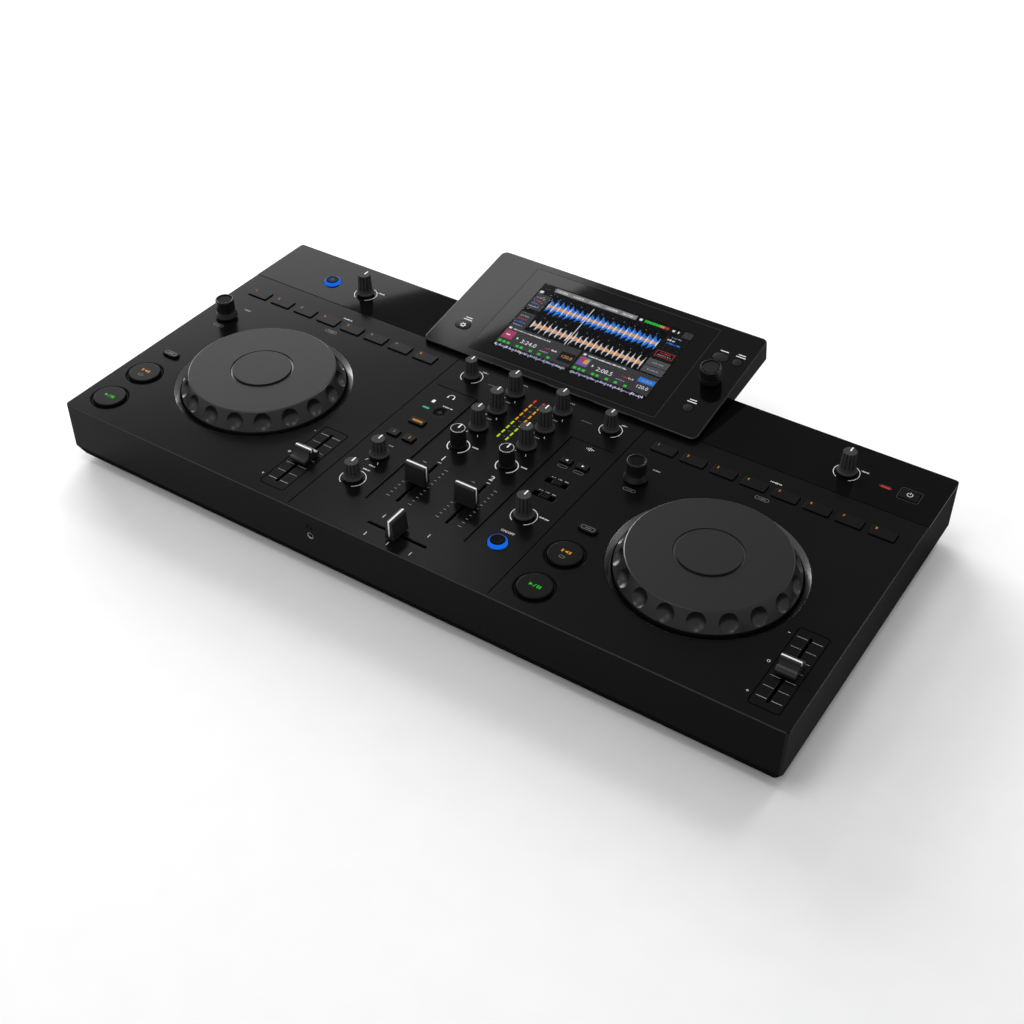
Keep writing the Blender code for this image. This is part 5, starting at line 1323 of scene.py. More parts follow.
rear_foot = SLOPE @ Vector((0, DISPLAY_LENGTH, -DISPLAY_REAR))
turn_line = Vector((0, FRONT + OVERHANG_START, TOP + UNDERSIDE))
rise_under = (rear_foot - turn_line).normalized()
housing = sliced(housing, turn_line, (0, 0, -1))
housing = sliced(housing, turn_line, (0, rise_under.z, -rise_under.y))
print("openings in the display:", len(rooms) + 1)

# %% [markdown]
# The face is a little shinier than the sides, and its rim catches the light. How far a point lies below the
# face tells the finish where it is.

# %% Display shell
FACE = SLOPE.to_3x3() @ UP
satin = plastic("display_satin", grey(0.002), 0.1, 0, 20 * MM, 0)
face_point = satin.node("ShaderNodeTexCoord", {}, {}, "Object")
outward = satin.node("ShaderNodeVectorMath", {"operation": "DOT_PRODUCT"}, {0: face_point, 1: FACE}, "Value")
level = outward - FACE.dot(SLOPE.translation)
on_face, near_face = [
    satin.node("ShaderNodeMath", {"operation": "GREATER_THAN"}, {0: level, 1: -depth}) for depth in (BARELY, EDGE)
]
satin.vary("Coat Weight", 0.08 + on_face * 0.1 + (near_face - on_face) * 0.3)
made = keep("display_shell", housing, satin.material, stands_for=("display_housing",), smooth=14, flat=FACE)
print("display shell:", len(made.data.polygons), "faces")

# %% [markdown]
# Two pale hair lines, painted highlights for the light that the edges catch, run round the face and round
# the glass. Each is a narrow frame that stands a few hundredths of a millimetre proud.

# %% Hair lines
FRAME_LINE = 0.25 * MM
FACE_MARGIN = 0.75 * MM


def edge_highlight_frame(half_x, half_y, middle, corner):
    """A narrow raised pale line round a part of the display's face: a painted highlight of its edge."""
    outer = oblong(0, middle, half_x, half_y, corner)
    inner = oblong(0, middle, half_x - FRAME_LINE, half_y - FRAME_LINE, corner - FRAME_LINE)
    return sheet(outer, [inner], -0.1 * MM, 0.03 * MM)


room = GAP + FRAME_LINE
half_long = DISPLAY_LENGTH / 2
face_corner = DISPLAY_CORNER - FACE_MARGIN
# Painted highlights: pale lines round the glass and round the face.
edges = [edge_highlight_frame(GLASS_HALF.x + room, GLASS_HALF.y + room, GLASS_MIDDLE, 1.5 * MM)]
edges.append(edge_highlight_frame(DISPLAY_HALF - FACE_MARGIN, half_long - FACE_MARGIN, half_long, face_corner))
keep("display_edges", laid(gathered(edges), SLOPE), edge_grey, smooth=14, flat=FACE)
print("hair lines:", len(edges))

# %% [markdown]
# The glass is one polished sheet with a black border printed on its back. The border is opaque and the
# window is nearly clear; a mask on the sheet's own coordinates sets which is which. A dark panel with the
# picture lies just below it.

# %% Glass and screen panel
WINDOW_HALF = Vector((70.3 * MM, 41.2 * MM))


def window_mask(finish):
    """1 inside the clear window of the glass and 0 on its printed border."""
    place = finish.node("ShaderNodeTexCoord", {}, {}, "Object")
    middle = SLOPE @ Vector((0, SCREEN_MIDDLE, 0))
    centred = {"Vector": place, "Location": -middle}
    split = finish.node("ShaderNodeMapping", {"vector_type": "POINT"}, centred)
    parts = [finish.node("ShaderNodeSeparateXYZ", {}, {"Vector": split}, axis) for axis in "XY"]
    inside = None
    for part, limit in zip(parts, (WINDOW_HALF.x, WINDOW_HALF.y * math.cos(DISPLAY_TILT))):
        size = finish.node("ShaderNodeMath", {"operation": "ABSOLUTE"}, {0: part})
        within = finish.node("ShaderNodeMath", {"operation": "LESS_THAN"}, {0: size, 1: limit})
        inside = within if inside is None else inside * within
    return inside


pane = Finish("display_pane", grey(0.003), 0.08, 0.056)
haze = pane.grain(6 * MM)
pane.vary("Roughness", 0.03 + haze * 0.03)
pane.vary("Alpha", 1 - window_mask(pane) * 0.93)
glass = sheet(oblong(0, GLASS_MIDDLE, *GLASS_HALF, 1 * MM), [], GLASS_BACK, 0, 0.07 * MM)
keep("display_pane", laid(glass, SLOPE), pane.material, stands_for=("display_glass",), smooth=14, flat=FACE)
screen_dark = lamp("screen_dark", (0.009, 0.01, 0.012), 0.3, 0.01)
panel_low = (-SCREEN_HALF.x, SCREEN_MIDDLE - SCREEN_HALF.y, pocket_floor)
panel_high = (SCREEN_HALF.x, SCREEN_MIDDLE + SCREEN_HALF.y, SCREEN_TOP)
panel = block(panel_low, panel_high, 0, 0.2 * MM)
keep("screen_panel", laid(panel, SLOPE), screen_dark, stands_for=("lcd_screen",), smooth=14)
print("glass: %.1f x %.1f mm" % (2 * GLASS_HALF.x / MM, 2 * GLASS_HALF.y / MM))

# %% [markdown]
# The picture on the screen is a made-up player page: two scrolling waveforms, a header, a side column and
# two track boxes with times, beat counts and an overview bar. All of it is drawn with thin tiles. Their uneven
# heights come from seeded random draws, so that every run draws the same page.

# %% Tiles of the player page
TILE = 0.02 * MM
WAVE_START = -53.5
WAVE_STEP = 0.4
WAVE_COUNT = 255
BEAT = 4.8
page = {}


def tile(colour, x, s, wide, long, layer=1):
    """A small rectangle on the screen, given by its near left corner and its size in millimetres."""
    low = SCREEN_TOP + (layer - 1) * TILE
    shape = block((x * MM, s * MM, low), ((x + wide) * MM, (s + long) * MM, low + TILE))
    page.setdefault(colour, []).append(shape)


def figures(colour, text, x, s, height, layer=3):
    """Numerals on the screen, with their place and height in millimetres."""
    shape = written(text, height * MM, TILE)
    page.setdefault(colour, []).append(moved(shape, (x * MM, s * MM, SCREEN_TOP + layer * TILE)))


def words(colour, x, s, length, tall, layer=3):
    """A row of short dashes, which reads as a line of small text."""
    rolls = random.Random(round(x * 7 + s * 3))
    at = x
    while at < x + length:
        wide = rolls.choice((0.5, 0.8, 1.2))
        tile(colour, at, s, wide, tall * rolls.choice((1, 0.8, 0.65)), layer)
        at += wide + rolls.choice((0.35, 0.35, 1))


def waveform(middle, tall, bodies, spike, seed):
    """A strip of sound: a rough body that dies away after each beat, and white spikes on the beats."""
    rolls = random.Random(seed)
    peak = 1
    for index in range(WAVE_COUNT):
        x = index * WAVE_STEP + WAVE_START
        since = index * WAVE_STEP % BEAT
        if since < WAVE_STEP:
            peak = rolls.uniform(0.72, 1)
        swell = peak * (1 - 0.72 * since / BEAT)
        for layer, (colour, share) in enumerate(bodies, 2):
            size = tall * share * swell * rolls.uniform(0.78, 1.08)
            tile(colour, x, middle - size / 2 + rolls.uniform(-0.4, 0.4), WAVE_STEP, size, layer)
        if since < 1.2:
            size = tall * spike * peak * rolls.uniform(0.4, 1)
            tile("white", x, middle - size / 2, WAVE_STEP * 0.8, size, 5)


print("page tools ready")

# %% [markdown]
# The header carries tabs, a small meter and a few signs. Below it run the two waveforms, each with a scale,
# and a white line through both marks the place that is being played.

# %% Header and waveforms
tile("dim", -69.5, 94.4, 139, 7, 1)
for index in range(5):
    tile("tab", -58 + index * 15.4, 95.8, 15.1, 4.8, 2)
    words("white", -55.5 + index * 15.4, 97.4, 9.5, 1.5)
tile("white", -68.8, 90, 3.2, 2.6, 2)
tile("white", 21.5, 97, 2.6, 2.4, 2)
for index in range(11):
    tile("green" if index < 7 else "amber" if index < 9 else "red", 26.5 + index * 2, 97, 1.6, 2.6, 2)
tile("white", 51.5, 97, 2.2, 2, 2)
tile("white", 56.4, 96.8, 1.2, 2.4, 2)
tile("mid", 61.4, 94.4, 8, 7, 2)
waveform(79, 19, (("blue", 1), ("amber", 0.3)), 0.6, 3)
waveform(54.5, 17, (("blue", 0.5), ("amber", 0.44)), 1, 8)
for middle in (79, 54.5):
    tile("mid", -69.5, middle - 9.6, 13.5, 19.6, 1)
    for index, colour in enumerate(("pale", "blue", "red", "pale")):
        words(colour, -67.8, middle - 6.8 + index * 3.8, 8, 1.4)
    for index in range(10):
        tile("pale", -48 + index * 10, middle + 10, 0.4, 1, 5)
tile("white", -17.7, 45.4, 0.6, 46.8, 6)
print("tiles so far:", sum(len(shapes) for shapes in page.values()))

# %% [markdown]
# The column on the right holds a few short lines, a red frame and two plain boxes.

# %% Side column
tile("dim", 50, 63.6, 19.5, 30, 1)
words("pale", 55, 90.4, 9, 1.3)
words("white", 53, 86.6, 7, 1.8)
words("blue", 54, 83, 12, 2)
tile("red", 52, 67, 15.6, 6.6, 2)
tile("dim", 52.4, 67.4, 14.8, 5.8, 3)
words("red", 55, 71, 9, 1.2, 4)
words("pale", 54, 68.6, 11, 1, 4)
for s in (55.4, 47.2):
    tile("box", 50.6, s, 18.6, 7.6, 2)
    words("pale", 55, s + 3.2, 9, 1.2)
print("tiles so far:", sum(len(shapes) for shapes in page.values()))

# %% [markdown]
# Two boxes at the bottom tell about the two tracks: a title, a coloured square, the time, a row of green
# marks and an overview of the whole track. The large numerals are made-up times and tempos.

# %% Track boxes
for x, art in ((-69.5, "rose"), (0.8, "violet")):
    tile("mid", x, 24.2, 68.5, 21.4, 1)
    tile("white", x + 1.4, 42, 2.4, 2, 2)
    words("white", x + 6, 42.2, 34, 1.5)
    tile(art, x + 1, 30.6, 9.6, 9.6, 2)
    tile("white", x + 14, 33.4, 1.2, 2, 2)
    words("red", x + 41, 34.4, 4, 1.4)
    words("white", x + 46.5, 34.4, 4, 1.6)
    words("pale", x + 38, 30, 7, 1.4)
    for beat in (1.5, 5.5, 9.5, 18, 22, 30.5, 38.5, 47):
        tile("green", x + beat, 25.4, 2.6, 2.3, 3)
    rolls = random.Random(round(x))
    for step in range(150):
        size = rolls.uniform(0.5, 2.6)
        colour = "white" if rolls.random() < 0.3 else "pale" if rolls.random() < 0.5 else "violet"
        tile(colour, x + 1 + step * 0.44, 20.8, 0.38, size, 2)
    for index in range(9):
        tile("white", x + 3 + index * 7.6, 19.4, 0.4, 1.4, 2)
tile("white", -66, 34.6, 3.6, 1.2, 3)
tile("red", 2.6, 35.4, 4.4, 4, 3)
tile("amber", 6.6, 33.4, 4, 4.4, 3)
tile("green", 8, 37.8, 2.6, 1.6, 4)
figures("white", "3:24.0", -43.5, 32.8, 6)
figures("white", "2:08.5", 27, 32.8, 6)
tile("dim", -14.5, 27.4, 13, 11, 2)
figures("amber", "120.0", -8, 33, 4.6)
tile("blue", 54.6, 35.6, 14, 5.2, 3)
words("pale", 57.6, 37.4, 8, 1.4, 4)
figures("white", "120.0", 61.6, 30.8, 4.8)
print("tiles so far:", sum(len(shapes) for shapes in page.values()))

# %% [markdown]
# All tiles of one colour become one piece that glows, so the page needs a dozen pieces and not thousands.

# %% Colours of the page
page_colours = {
    "white": (0.85, 0.87, 0.9), "pale": (0.32, 0.36, 0.5), "tab": (0.26, 0.26, 0.265), "box": (0.085, 0.085, 0.09),
    "mid": (0.045, 0.045, 0.048), "dim": (0.006, 0.006, 0.007),
    "blue": (0.03, 0.22, 0.8), "amber": (0.75, 0.36, 0.12), "green": (0.03, 0.62, 0.05), "red": (0.6, 0.05, 0.04),
    "rose": (0.42, 0.05, 0.14), "violet": (0.16, 0.12, 0.42),
}
for colour, shapes in page.items():
    glow = lamp(f"screen_{colour}", page_colours[colour], 0.95, 0.02)
    keep(f"screen_{colour}_tiles", laid(gathered(shapes), SLOPE), glow, smooth=14)

# %% [markdown]
# Four flat keys sit in seats cut in the display's face. Each is nearly flush, so only the thin shadow gap
# round it shows.

# %% Display keys
KEY_PROUD = 0.3 * MM
for node, (x, s, wide, long) in KEYS.items():
    cap = sheet(oblong(x, s, wide, long, min(wide, long), 10), [], -2 * MM, KEY_PROUD, 0.3 * MM)
    keep(f"{node}_cap", laid(cap, SLOPE), key_grey, node, (node,), smooth=20)
print(len(KEYS), "display keys")

# %% [markdown]
# ## Sockets
# The headphone socket is a metal ring with a deep bore in the front wall. It is turned facing up, like a
# knob, and then swung round to face its wall.

# %% Headphone socket
COLLAR = 3 * MM
BORE = 1.75 * MM
BORE_DEPTH = 10 * MM
profile = [(COLLAR, -HOLE_DEPTH, 0), (COLLAR, -0.25 * MM, 0.2 * MM), (BORE + 0.4 * MM, -0.25 * MM, 0.3 * MM),
           (BORE, -0.9 * MM, 0.2 * MM), (BORE, -BORE_DEPTH, 0), (0, -BORE_DEPTH, 0), (0, -HOLE_DEPTH, 0)]
jack = moved(laid(turned(profile, 40), FACING_FRONT), (jack_x, FRONT, jack_z))
keep("headphone_jack", jack, dark_nickel, stands_for=("headphone_socket",))
print("headphone socket at x %.1f mm" % (jack_x / MM))

# %% [markdown]
# At the back are two phono outputs with coloured collars, a small line input and a USB socket. They are turned
# or extruded facing up and then swung round to face the back.

# %% Rear sockets
PHONO_RADIUS = 4.15 * MM
PHONO_REACH = 8.2 * MM
COLLAR_ROOT = -6 * MM
SOCKET_ROOT = -8 * MM
USB_WALL = 0.4 * MM
phono_rim, mini_rim = PHONO_HOLE - GAP, MINI_HOLE - GAP
phono_red = moulded("phono_red", (0.42, 0.015, 0.012), 0.4, 0.4, 0.5 * MM, 0.005 * MM)
phono_white = moulded("phono_white", grey(0.6), 0.4, 0.4, 0.5 * MM, 0.005 * MM)
for x, finish, side in zip(PHONO_SPOTS, (phono_white, phono_red), SIDES):
    profile = [(phono_rim, COLLAR_ROOT, 0), (phono_rim, 0.5 * MM, 0.3 * MM),
               (PHONO_RADIUS, 0.5 * MM, 0.2 * MM), (PHONO_RADIUS, COLLAR_ROOT, 0)]
    collar = turned(profile, 40, 4, True)
    keep(f"phono_collar_{side}", moved(laid(collar, FACING_BACK), (x, back, socket_z)), finish)
    profile = [(PHONO_RADIUS, SOCKET_ROOT, 0), (PHONO_RADIUS, PHONO_REACH, 0.4 * MM),
               (1.7 * MM, PHONO_REACH, 0.2 * MM), (1.6 * MM, 0.5 * MM, 0), (0, 0.5 * MM, 0), (0, SOCKET_ROOT, 0)]
    barrel = turned(profile, 40)
    keep(f"phono_barrel_{side}", moved(laid(barrel, FACING_BACK), (x, back, socket_z)), gilt)
profile = [(mini_rim, SOCKET_ROOT, 0), (mini_rim, 0.4 * MM, 0.3 * MM), (BORE + 0.2 * MM, 0.4 * MM, 0.3 * MM),
           (BORE, -7 * MM, 0), (0, -7 * MM, 0), (0, SOCKET_ROOT, 0)]
ring = moved(laid(turned(profile, 40), FACING_BACK), (MINI_SPOT, back, socket_z))
keep("line_input_socket", ring, knob_black, stands_for=("jack_board",))
usb_bore = oblong(0, 0, USB_HALF.x - USB_WALL, USB_HALF.y - USB_WALL, USB_HALF.y - USB_WALL)
usb_ring = sheet(oblong(0, 0, *USB_HALF, USB_HALF.y), [usb_bore], SOCKET_ROOT, 0, 0.1 * MM)
usb_tongue = block((-3.2 * MM, -0.35 * MM, SOCKET_ROOT), (3.2 * MM, 0.35 * MM, -1 * MM), 0.1 * MM, 0.1 * MM)
for name, shape, finish in (("usb_shell", usb_ring, nickel), ("usb_tongue", usb_tongue, hole_black)):
    keep(name, moved(laid(shape, FACING_BACK), (USB_SPOT, back, socket_z)), finish)
print("rear sockets: two phono, one line input, one USB")

# %% [markdown]
# ## Printed marks
# White marks are screen-printed on the panel: scales beside the faders, arcs round the knobs, channel
# numbers and a few plain signs. They are thin solids that stand a few hundredths of a millimetre proud.
# An arc is a small rectangle spun part of the way round, closed at both ends.

# %% Ink tools
INK = 0.05 * MM
ink = {}


def stamp(colour, shape, place):
    """Adds a shape to the marks of one colour."""
    ink.setdefault(colour, []).append(moved(shape, place))


def bar(colour, x, y, wide, long, place):
    """A printed bar whose middle lies at (x, y) millimetres from a place."""
    low = ((x - wide / 2) * MM, (y - long / 2) * MM, -INK)
    high = ((x + wide / 2) * MM, (y + long / 2) * MM, INK)
    stamp(colour, block(low, high), place)


def arc(colour, radius, wide, start, sweep, place):
    """A printed arc, in millimetres and degrees, anticlockwise from the right."""
    shape = bmesh.new()
    inner, outer = (radius - wide / 2) * MM, (radius + wide / 2) * MM
    loop = [shape.verts.new(p) for p in ((inner, 0, -INK), (outer, 0, -INK), (outer, 0, INK), (inner, 0, INK))]
    edges = [shape.edges.new((loop[i], loop[(i + 1) % 4])) for i in range(4)]
    steps = max(4, round(sweep / 8))
    turn = {"axis": (0, 0, 1), "cent": (0, 0, 0), "angle": math.radians(sweep)}
    bmesh.ops.spin(shape, geom=loop + edges, steps=steps, use_merge=False, **turn)
    bmesh.ops.holes_fill(shape, edges=[e for e in shape.edges if e.is_boundary])
    bmesh.ops.rotate(shape, cent=(0, 0, 0), matrix=Matrix.Rotation(math.radians(start), 3, "Z"), verts=shape.verts)
    stamp(colour, shape, place)


def tick(colour, angle, inner, outer, wide, place):
    """A printed stroke that points away from a place, at an angle in degrees."""
    shape = block((inner * MM, -wide / 2 * MM, -INK), (outer * MM, wide / 2 * MM, INK))
    stamp(colour, laid(shape, Matrix.Rotation(math.radians(angle), 4, "Z")), place)


def pill(colour, x, y, wide, long, line, place):
    """A printed outline with round ends."""
    def outline(smaller):
        sizes = [(size / 2 - smaller) * MM for size in (wide, long)]
        return oblong(x * MM, y * MM, *sizes, min(sizes))
    stamp(colour, sheet(outline(0), [outline(line)], -INK, INK), place)


def sign_shape(corners):
    """A flat sign from the corners of its outline, in millimetres."""
    return sheet([Vector(c) * MM for c in corners], [], -INK, INK)


def lettering(colour, length, height, x, y, place):
    """A row of small strokes that reads as a label from afar."""
    rolls = random.Random(round(length * 7 + x * 3 + y))
    at = x - length / 2
    while at < x + length / 2:
        wide = rolls.choice((0.25, 0.4, 0.6))
        bar(colour, at + wide / 2, y, wide, height * rolls.choice((1, 1, 0.7)), place)
        at += wide + rolls.choice((0.25, 0.25, 0.7))


def numeral(colour, text, height, x, y, place):
    """Printed numerals at (x, y) millimetres from a place."""
    stamp(colour, moved(written(text, height * MM, 2 * INK), (x * MM, y * MM, 0)), place)


print("ink tools ready")

# %% [markdown]
# An arc that is open at the front shows the range of a knob. The equaliser knobs have only two strokes at the
# ends of their range. The ends of a fader's scale are longer than the marks between them.

# %% Scales round knobs and faders
ARC_SPARE = 2 * MM
for node in knob_nodes:
    place = spot(node)
    radius = (half(node).x + ARC_SPARE) / MM
    if node.startswith(("high", "mid", "low")) or node == "headphone_mix_knob":
        for angle in (-60, -120):
            tick("white", angle, radius - 0.9, radius + 1.8, 0.4, place)
        lettering("pale", 3.6, 1.2, 0.5, 13.6, place)
    else:
        arc("white", radius, 0.75 if node.startswith("filter") else 0.5, -60, 300, place)
for side, sign in zip(SIDES, BOTH):
    place = spot(f"channel_fader_{side}")
    for step in range(11):
        y = -22.5 + step * 4.5
        wide = 3 if step in (0, 10) else 2
        for edge in BOTH:
            bar("pale", edge * 9.6, y, wide, 0.3, place)
    bar("white", 0, 27.5, 3, 0.4, place)
    place = spot(f"tempo_fader_{side}")
    for step in range(7):
        for edge in BOTH:
            bar("pale", edge * 5.2, -30 + step * 10, 7.2, 0.34 if step in (0, 3, 6) else 0.24, place)
    arc("white", 0.95, 0.32, 0, 360, place + Vector((-14.6 * MM, 0, 0)))
    bar("white", -14.6, 30, 2, 0.3, place)
    bar("white", -14.6, -30, 2, 0.3, place)
    bar("white", -14.6, -30, 0.3, 2, place)
    numeral("white", "12"[side == "right"], 7.6, -0.6, -18.6, spot(f"filter_knob_{side}"))
    bar("grey", sign * -20.5, -1.3, 9, 0.4, spot(f"trim_knob_{side}"))
place = spot("crossfader")
for x in (-19.3, 0, 19.3):
    for y in (-11, 11):
        bar("white", x, y, 0.45, 3.6, place)
print("ink shapes so far:", sum(len(shapes) for shapes in ink.values()))

# %% [markdown]
# Plain signs stand where a user looks for a function: a headphone arc, a row of waves, and ON and OFF by the
# effect button. Rows of small strokes stand for the labels.

# %% Signs on the panel
PLAY = ((-1.3, -1.4), (1.5, 0), (-1.3, 1.4))
for node, length, dx, dy in (
    ("headphone_level_knob", 6, 2.5, 13), ("effect_depth_knob", 7, 13.5, 5),
    ("input_level_knob", 6, 11, 7.5), ("master_level_knob", 6, 11, 7.5),
    ("trim_knob_left", 5, 6.5, 10), ("trim_knob_right", 5, 6.5, 10),
    ("filter_knob_left", 5, 12, 4.5), ("filter_knob_right", 5, 12, 4.5),
    ("pairing_button", 8, 1.5, 7.6), ("headphone_mix_knob", 5, 3, -13),
):
    lettering("white", length, 1.2, dx, dy, spot(node))
headphones = Vector((-60.8 * MM, FRONT + 169.6 * MM, TOP))
arc("white", 2.6, 0.45, 0, 180, headphones)
for edge in BOTH:
    bar("white", edge * 2.5, -0.9, 1, 2, headphones)
waves = Vector((62.6 * MM, FRONT + 172.4 * MM, TOP))
for index, tall in enumerate((1.2, 2.6, 4, 2.6, 1.2)):
    bar("white", (index - 2) * 1.4, 0, 0.45, tall, waves)
numeral("white", "ON/OFF", 3, 0, 12.4, spot("effect_button"))
for node in switch_nodes:
    for index in range(3):
        lettering("pale", 2.4, 1, (index - 1) * 5.5, 4.6, spot(node))
for side in SIDES:
    pill("grey", 0, -6.4, 8, 3, 0.35, spot(f"beat_button_{side}"))
    pill("grey", 2, -12.6, 10, 3.4, 0.4, spot(f"loop_encoder_{side}"))
    pill("grey", -0.9, -11.7, 11, 3.6, 0.4, spot(f"pad_bank_{side}"))
    lettering("grey", 5, 1.1, 2, -12.6, spot(f"loop_encoder_{side}"))
    lettering("grey", 6, 1.2, -0.9, -11.7, spot(f"pad_bank_{side}"))
    lettering("pale", 6, 1.3, 8, 17, spot(f"loop_encoder_{side}"))
    lettering("white", 9, 1.3, 0, 10, spot(f"pad_bank_{side}"))
upright = ((-1.2, -1.7), (1.2, -1.7), (1.2, 1.7), (-1.2, 1.7))
stamp("white", sign_shape(upright), spot("pairing_button") + Vector((-12.5 * MM, 9 * MM, 0)))
for index in range(7):
    lettering("grey", 2.2, 1, 0, 151 + index * 7.2, Vector((0, FRONT, TOP)))
print("ink shapes in all:", sum(len(shapes) for shapes in ink.values()))

# %% [markdown]
# A thin pale frame runs round the power button and another round its lamp. Then the panel is complete, and
# each colour of ink becomes one piece. The headphone sign on the front wall is kept dark.

# %% Frames and front sign
FRAME_OUT = 0.45 * MM
FRAME_IN = 0.1 * MM
place = spot("power_button")
wide, long = [size + POWER_GAP for size in cap_size("power_button")]
frames = [
    (place.x, place.y, wide, long, 1.7 * MM),
    (LED_CHANNEL.x, FRONT + LED_CHANNEL.y, *LED_CHANNEL_HALF, LED_CHANNEL_HALF.y),
]
for x, y, *sizes in frames:
    outer, inner = [oblong(x, y, *[size + out for size in sizes]) for out in (FRAME_OUT, FRAME_IN)]
    stamp("edge", sheet(outer, [inner], -INK, INK), (0, 0, TOP))
front_icon = Matrix.Translation((jack_x, FRONT, jack_z + 8.5 * MM)) @ FACING_FRONT
for colour, shapes in ink.items():
    finish = {"white": white_ink, "pale": pale_ink, "grey": grey_ink, "edge": edge_grey}[colour]
    keep(f"panel_print_{colour}", gathered(shapes), finish, smooth=14)
ink.clear()
arc("white", 2, 0.5, 0, 180, Vector())
for edge in BOTH:
    bar("white", edge * 2, -0.8, 1, 1.8, Vector())
keep("front_print", laid(gathered(ink.pop("white")), front_icon), hole_black, smooth=14)
print("panel printed")

# %% [markdown]
# Marks on a button move with it, so they are pieces of their own that ride on the button's body. They are
# lit from below on the real one: green on play, orange on cue and on the pads.

# %% Lit marks on the decks
def drawn():
    """The marks drawn so far, as one shape; the next marks start afresh."""
    shapes = [shape for group in ink.values() for shape in group]
    ink.clear()
    return gathered(shapes)


def marked(node, finish, name):
    """Makes one piece of the marks drawn so far; it rides on a button or a bank of pads."""
    keep(f"{node}_{name}", drawn(), finish, node, smooth=14)


def cap_top(node):
    """The middle of the top of a small cap."""
    return spot(node) + Vector((0, 0, rise(node)))


for side in SIDES:
    lift = Vector((0, 0, proud(f"play_button_{side}")))
    place = spot(f"play_button_{side}") + lift
    stamp("mark", moved(sign_shape(PLAY), (-2.9 * MM, 0, 0)), place)
    bar("mark", 2.4, 0, 1.1, 2.8, place)
    bar("mark", 4.2, 0, 1.1, 2.8, place)
    stamp("mark", sign_shape(((-0.9, -1.6), (-0.3, -1.6), (0.9, 1.6), (0.3, 1.6))), place)
    marked(f"play_button_{side}", lamp_green, "mark")
    place = spot(f"cue_button_{side}") + lift
    bar("mark", -3, 1.6, 1.3, 2.6, place)
    stamp("mark", moved(sign_shape(((1.5, -1.3), (-1.3, 0), (1.5, 1.3))), (0, 1.6 * MM, 0)), place)
    bar("mark", 3, 1.6, 1.3, 2.6, place)
    marked(f"cue_button_{side}", lamp_orange, "mark")
    pill("mark", 0, -4.4, 4.6, 2.6, 0.4, place)
    marked(f"cue_button_{side}", grey_ink, "pill")
    node = f"shift_button_{side}"
    pill("mark", 0, 0, 11, 3.8, 0.45, cap_top(node))
    bar("mark", 0, 0, 5, 0.6, cap_top(node))
    marked(node, grey_ink, "mark")
    node = f"headphone_cue_button_{side}"
    numeral("mark", "12"[side == "right"], 3.6, 0, 0.4, cap_top(node))
    marked(node, lamp_orange, "mark")
    node = f"beat_button_{side}"
    flip = -1 if side == "left" else 1
    arrow = [(flip * x * 0.75, y * 0.75) for x, y in PLAY][::flip]
    stamp("mark", sign_shape(arrow), cap_top(node))
    marked(node, white_ink, "mark")
    node = f"pad_bank_{side}"
    for index, place in enumerate(pad_spots(side)):
        numeral("mark", str(index + 1), 3.4, -6.2, 2.4, place + Vector((0, 0, proud(node))))
    marked(node, lamp_orange, "mark")
print("decks marked:", len(SIDES))

# %% [markdown]
# Three buttons that belong to neither deck are marked too: a row of bars on the master cue, the usual sign
# for power, and a blue ring on the input button.

# %% Lit marks on single buttons
place = cap_top("master_cue_button")
for index in range(5):
    bar("mark", (index - 2) * 1.8, 0, 1.2, 2.2, place)
marked("master_cue_button", lamp_orange, "mark")
place = cap_top("power_button")
arc("mark", 2, 0.55, 120, 300, place)
bar("mark", 0, 1.7, 0.55, 2.4, place)
marked("power_button", lamp_white, "mark")
place = spot("input_button") + Vector((0, 0, rise("input_button") - 0.25 * MM))
arc("mark", 1.4, 0.4, 0, 360, place)
marked("input_button", lamp_blue, "mark")
print("lit marks done")

# %% [markdown]
# The keys and the face of the display carry the same kind of marks, laid on its slope.

# %% Marks on the display
def key_spot(node, lift=KEY_PROUD):
    """The middle of a key's top, on the display's face."""
    x, s = KEYS[node][:2]
    return Vector((x, s, lift))


def display_mark(node, finish, name, body):
    """Makes one piece of the marks drawn so far and lays it on the display's slope."""
    keep(f"{node}_{name}", laid(drawn(), SLOPE), finish, body, smooth=14)


place = key_spot("mixer_settings_key")
arc("mark", 1.5, 0.8, 0, 360, place)
for index in range(6):
    turn = index * math.pi / 3
    bar("mark", 2.2 * math.cos(turn), 2.2 * math.sin(turn), 0.8, 0.8, place)
display_mark("mixer_settings_key", white_ink, "mark", "mixer_settings_key")
for node, count in (("mixer_settings_key", 2), ("deck_settings_key", 2), ("back_key", 1), ("tag_key", 2)):
    place = key_spot(node, 0)
    for row in range(count):
        bar("mark", 0, KEYS[node][3] / MM + 2.6 + row * 2.4, 8 - 2 * row if count > 1 else 7, 0.9, place)
display_mark("display", white_ink, "print", "chassis")
print("display printed")

# %% [markdown]
# ## Lamps
# The level meter is two columns of narrow windows, lime at the front, then orange, with red at the back.
# Two more lamps stand alone: a teal one by the pairing button and a red one beside the power button.

# %% Level meter and status lamps
METER_X = 3.8 * MM
METER_START = FRONT + 149.7 * MM
METER_PITCH = 6.28 * MM
METER_COUNT = 9
WINDOW = Vector((0.75 * MM, 2.1 * MM, 0.12 * MM))
columns = {}
for sign in BOTH:
    for index in range(METER_COUNT):
        centre = Vector((sign * METER_X, METER_START + index * METER_PITCH, TOP))
        kind = "lime" if index < 4 else "orange" if index < METER_COUNT - 1 else "red"
        columns.setdefault(kind, []).append(block(centre - WINDOW, centre + WINDOW, 0.3 * MM, 0.05 * MM))
meter_finish = {"lime": lamp_lime, "orange": lamp_orange, "red": lamp_red}
for kind, shapes in columns.items():
    keep(f"meter_{kind}_lamps", gathered(shapes), meter_finish[kind])
teal = Vector((-69.8 * MM, FRONT + 148.3 * MM, TOP))
slim = Vector((3 * MM, 0.9 * MM, 0.1 * MM))
keep("pairing_lamp", block(teal - slim, teal + slim, 0.7 * MM, 0.05 * MM), lamp_teal)
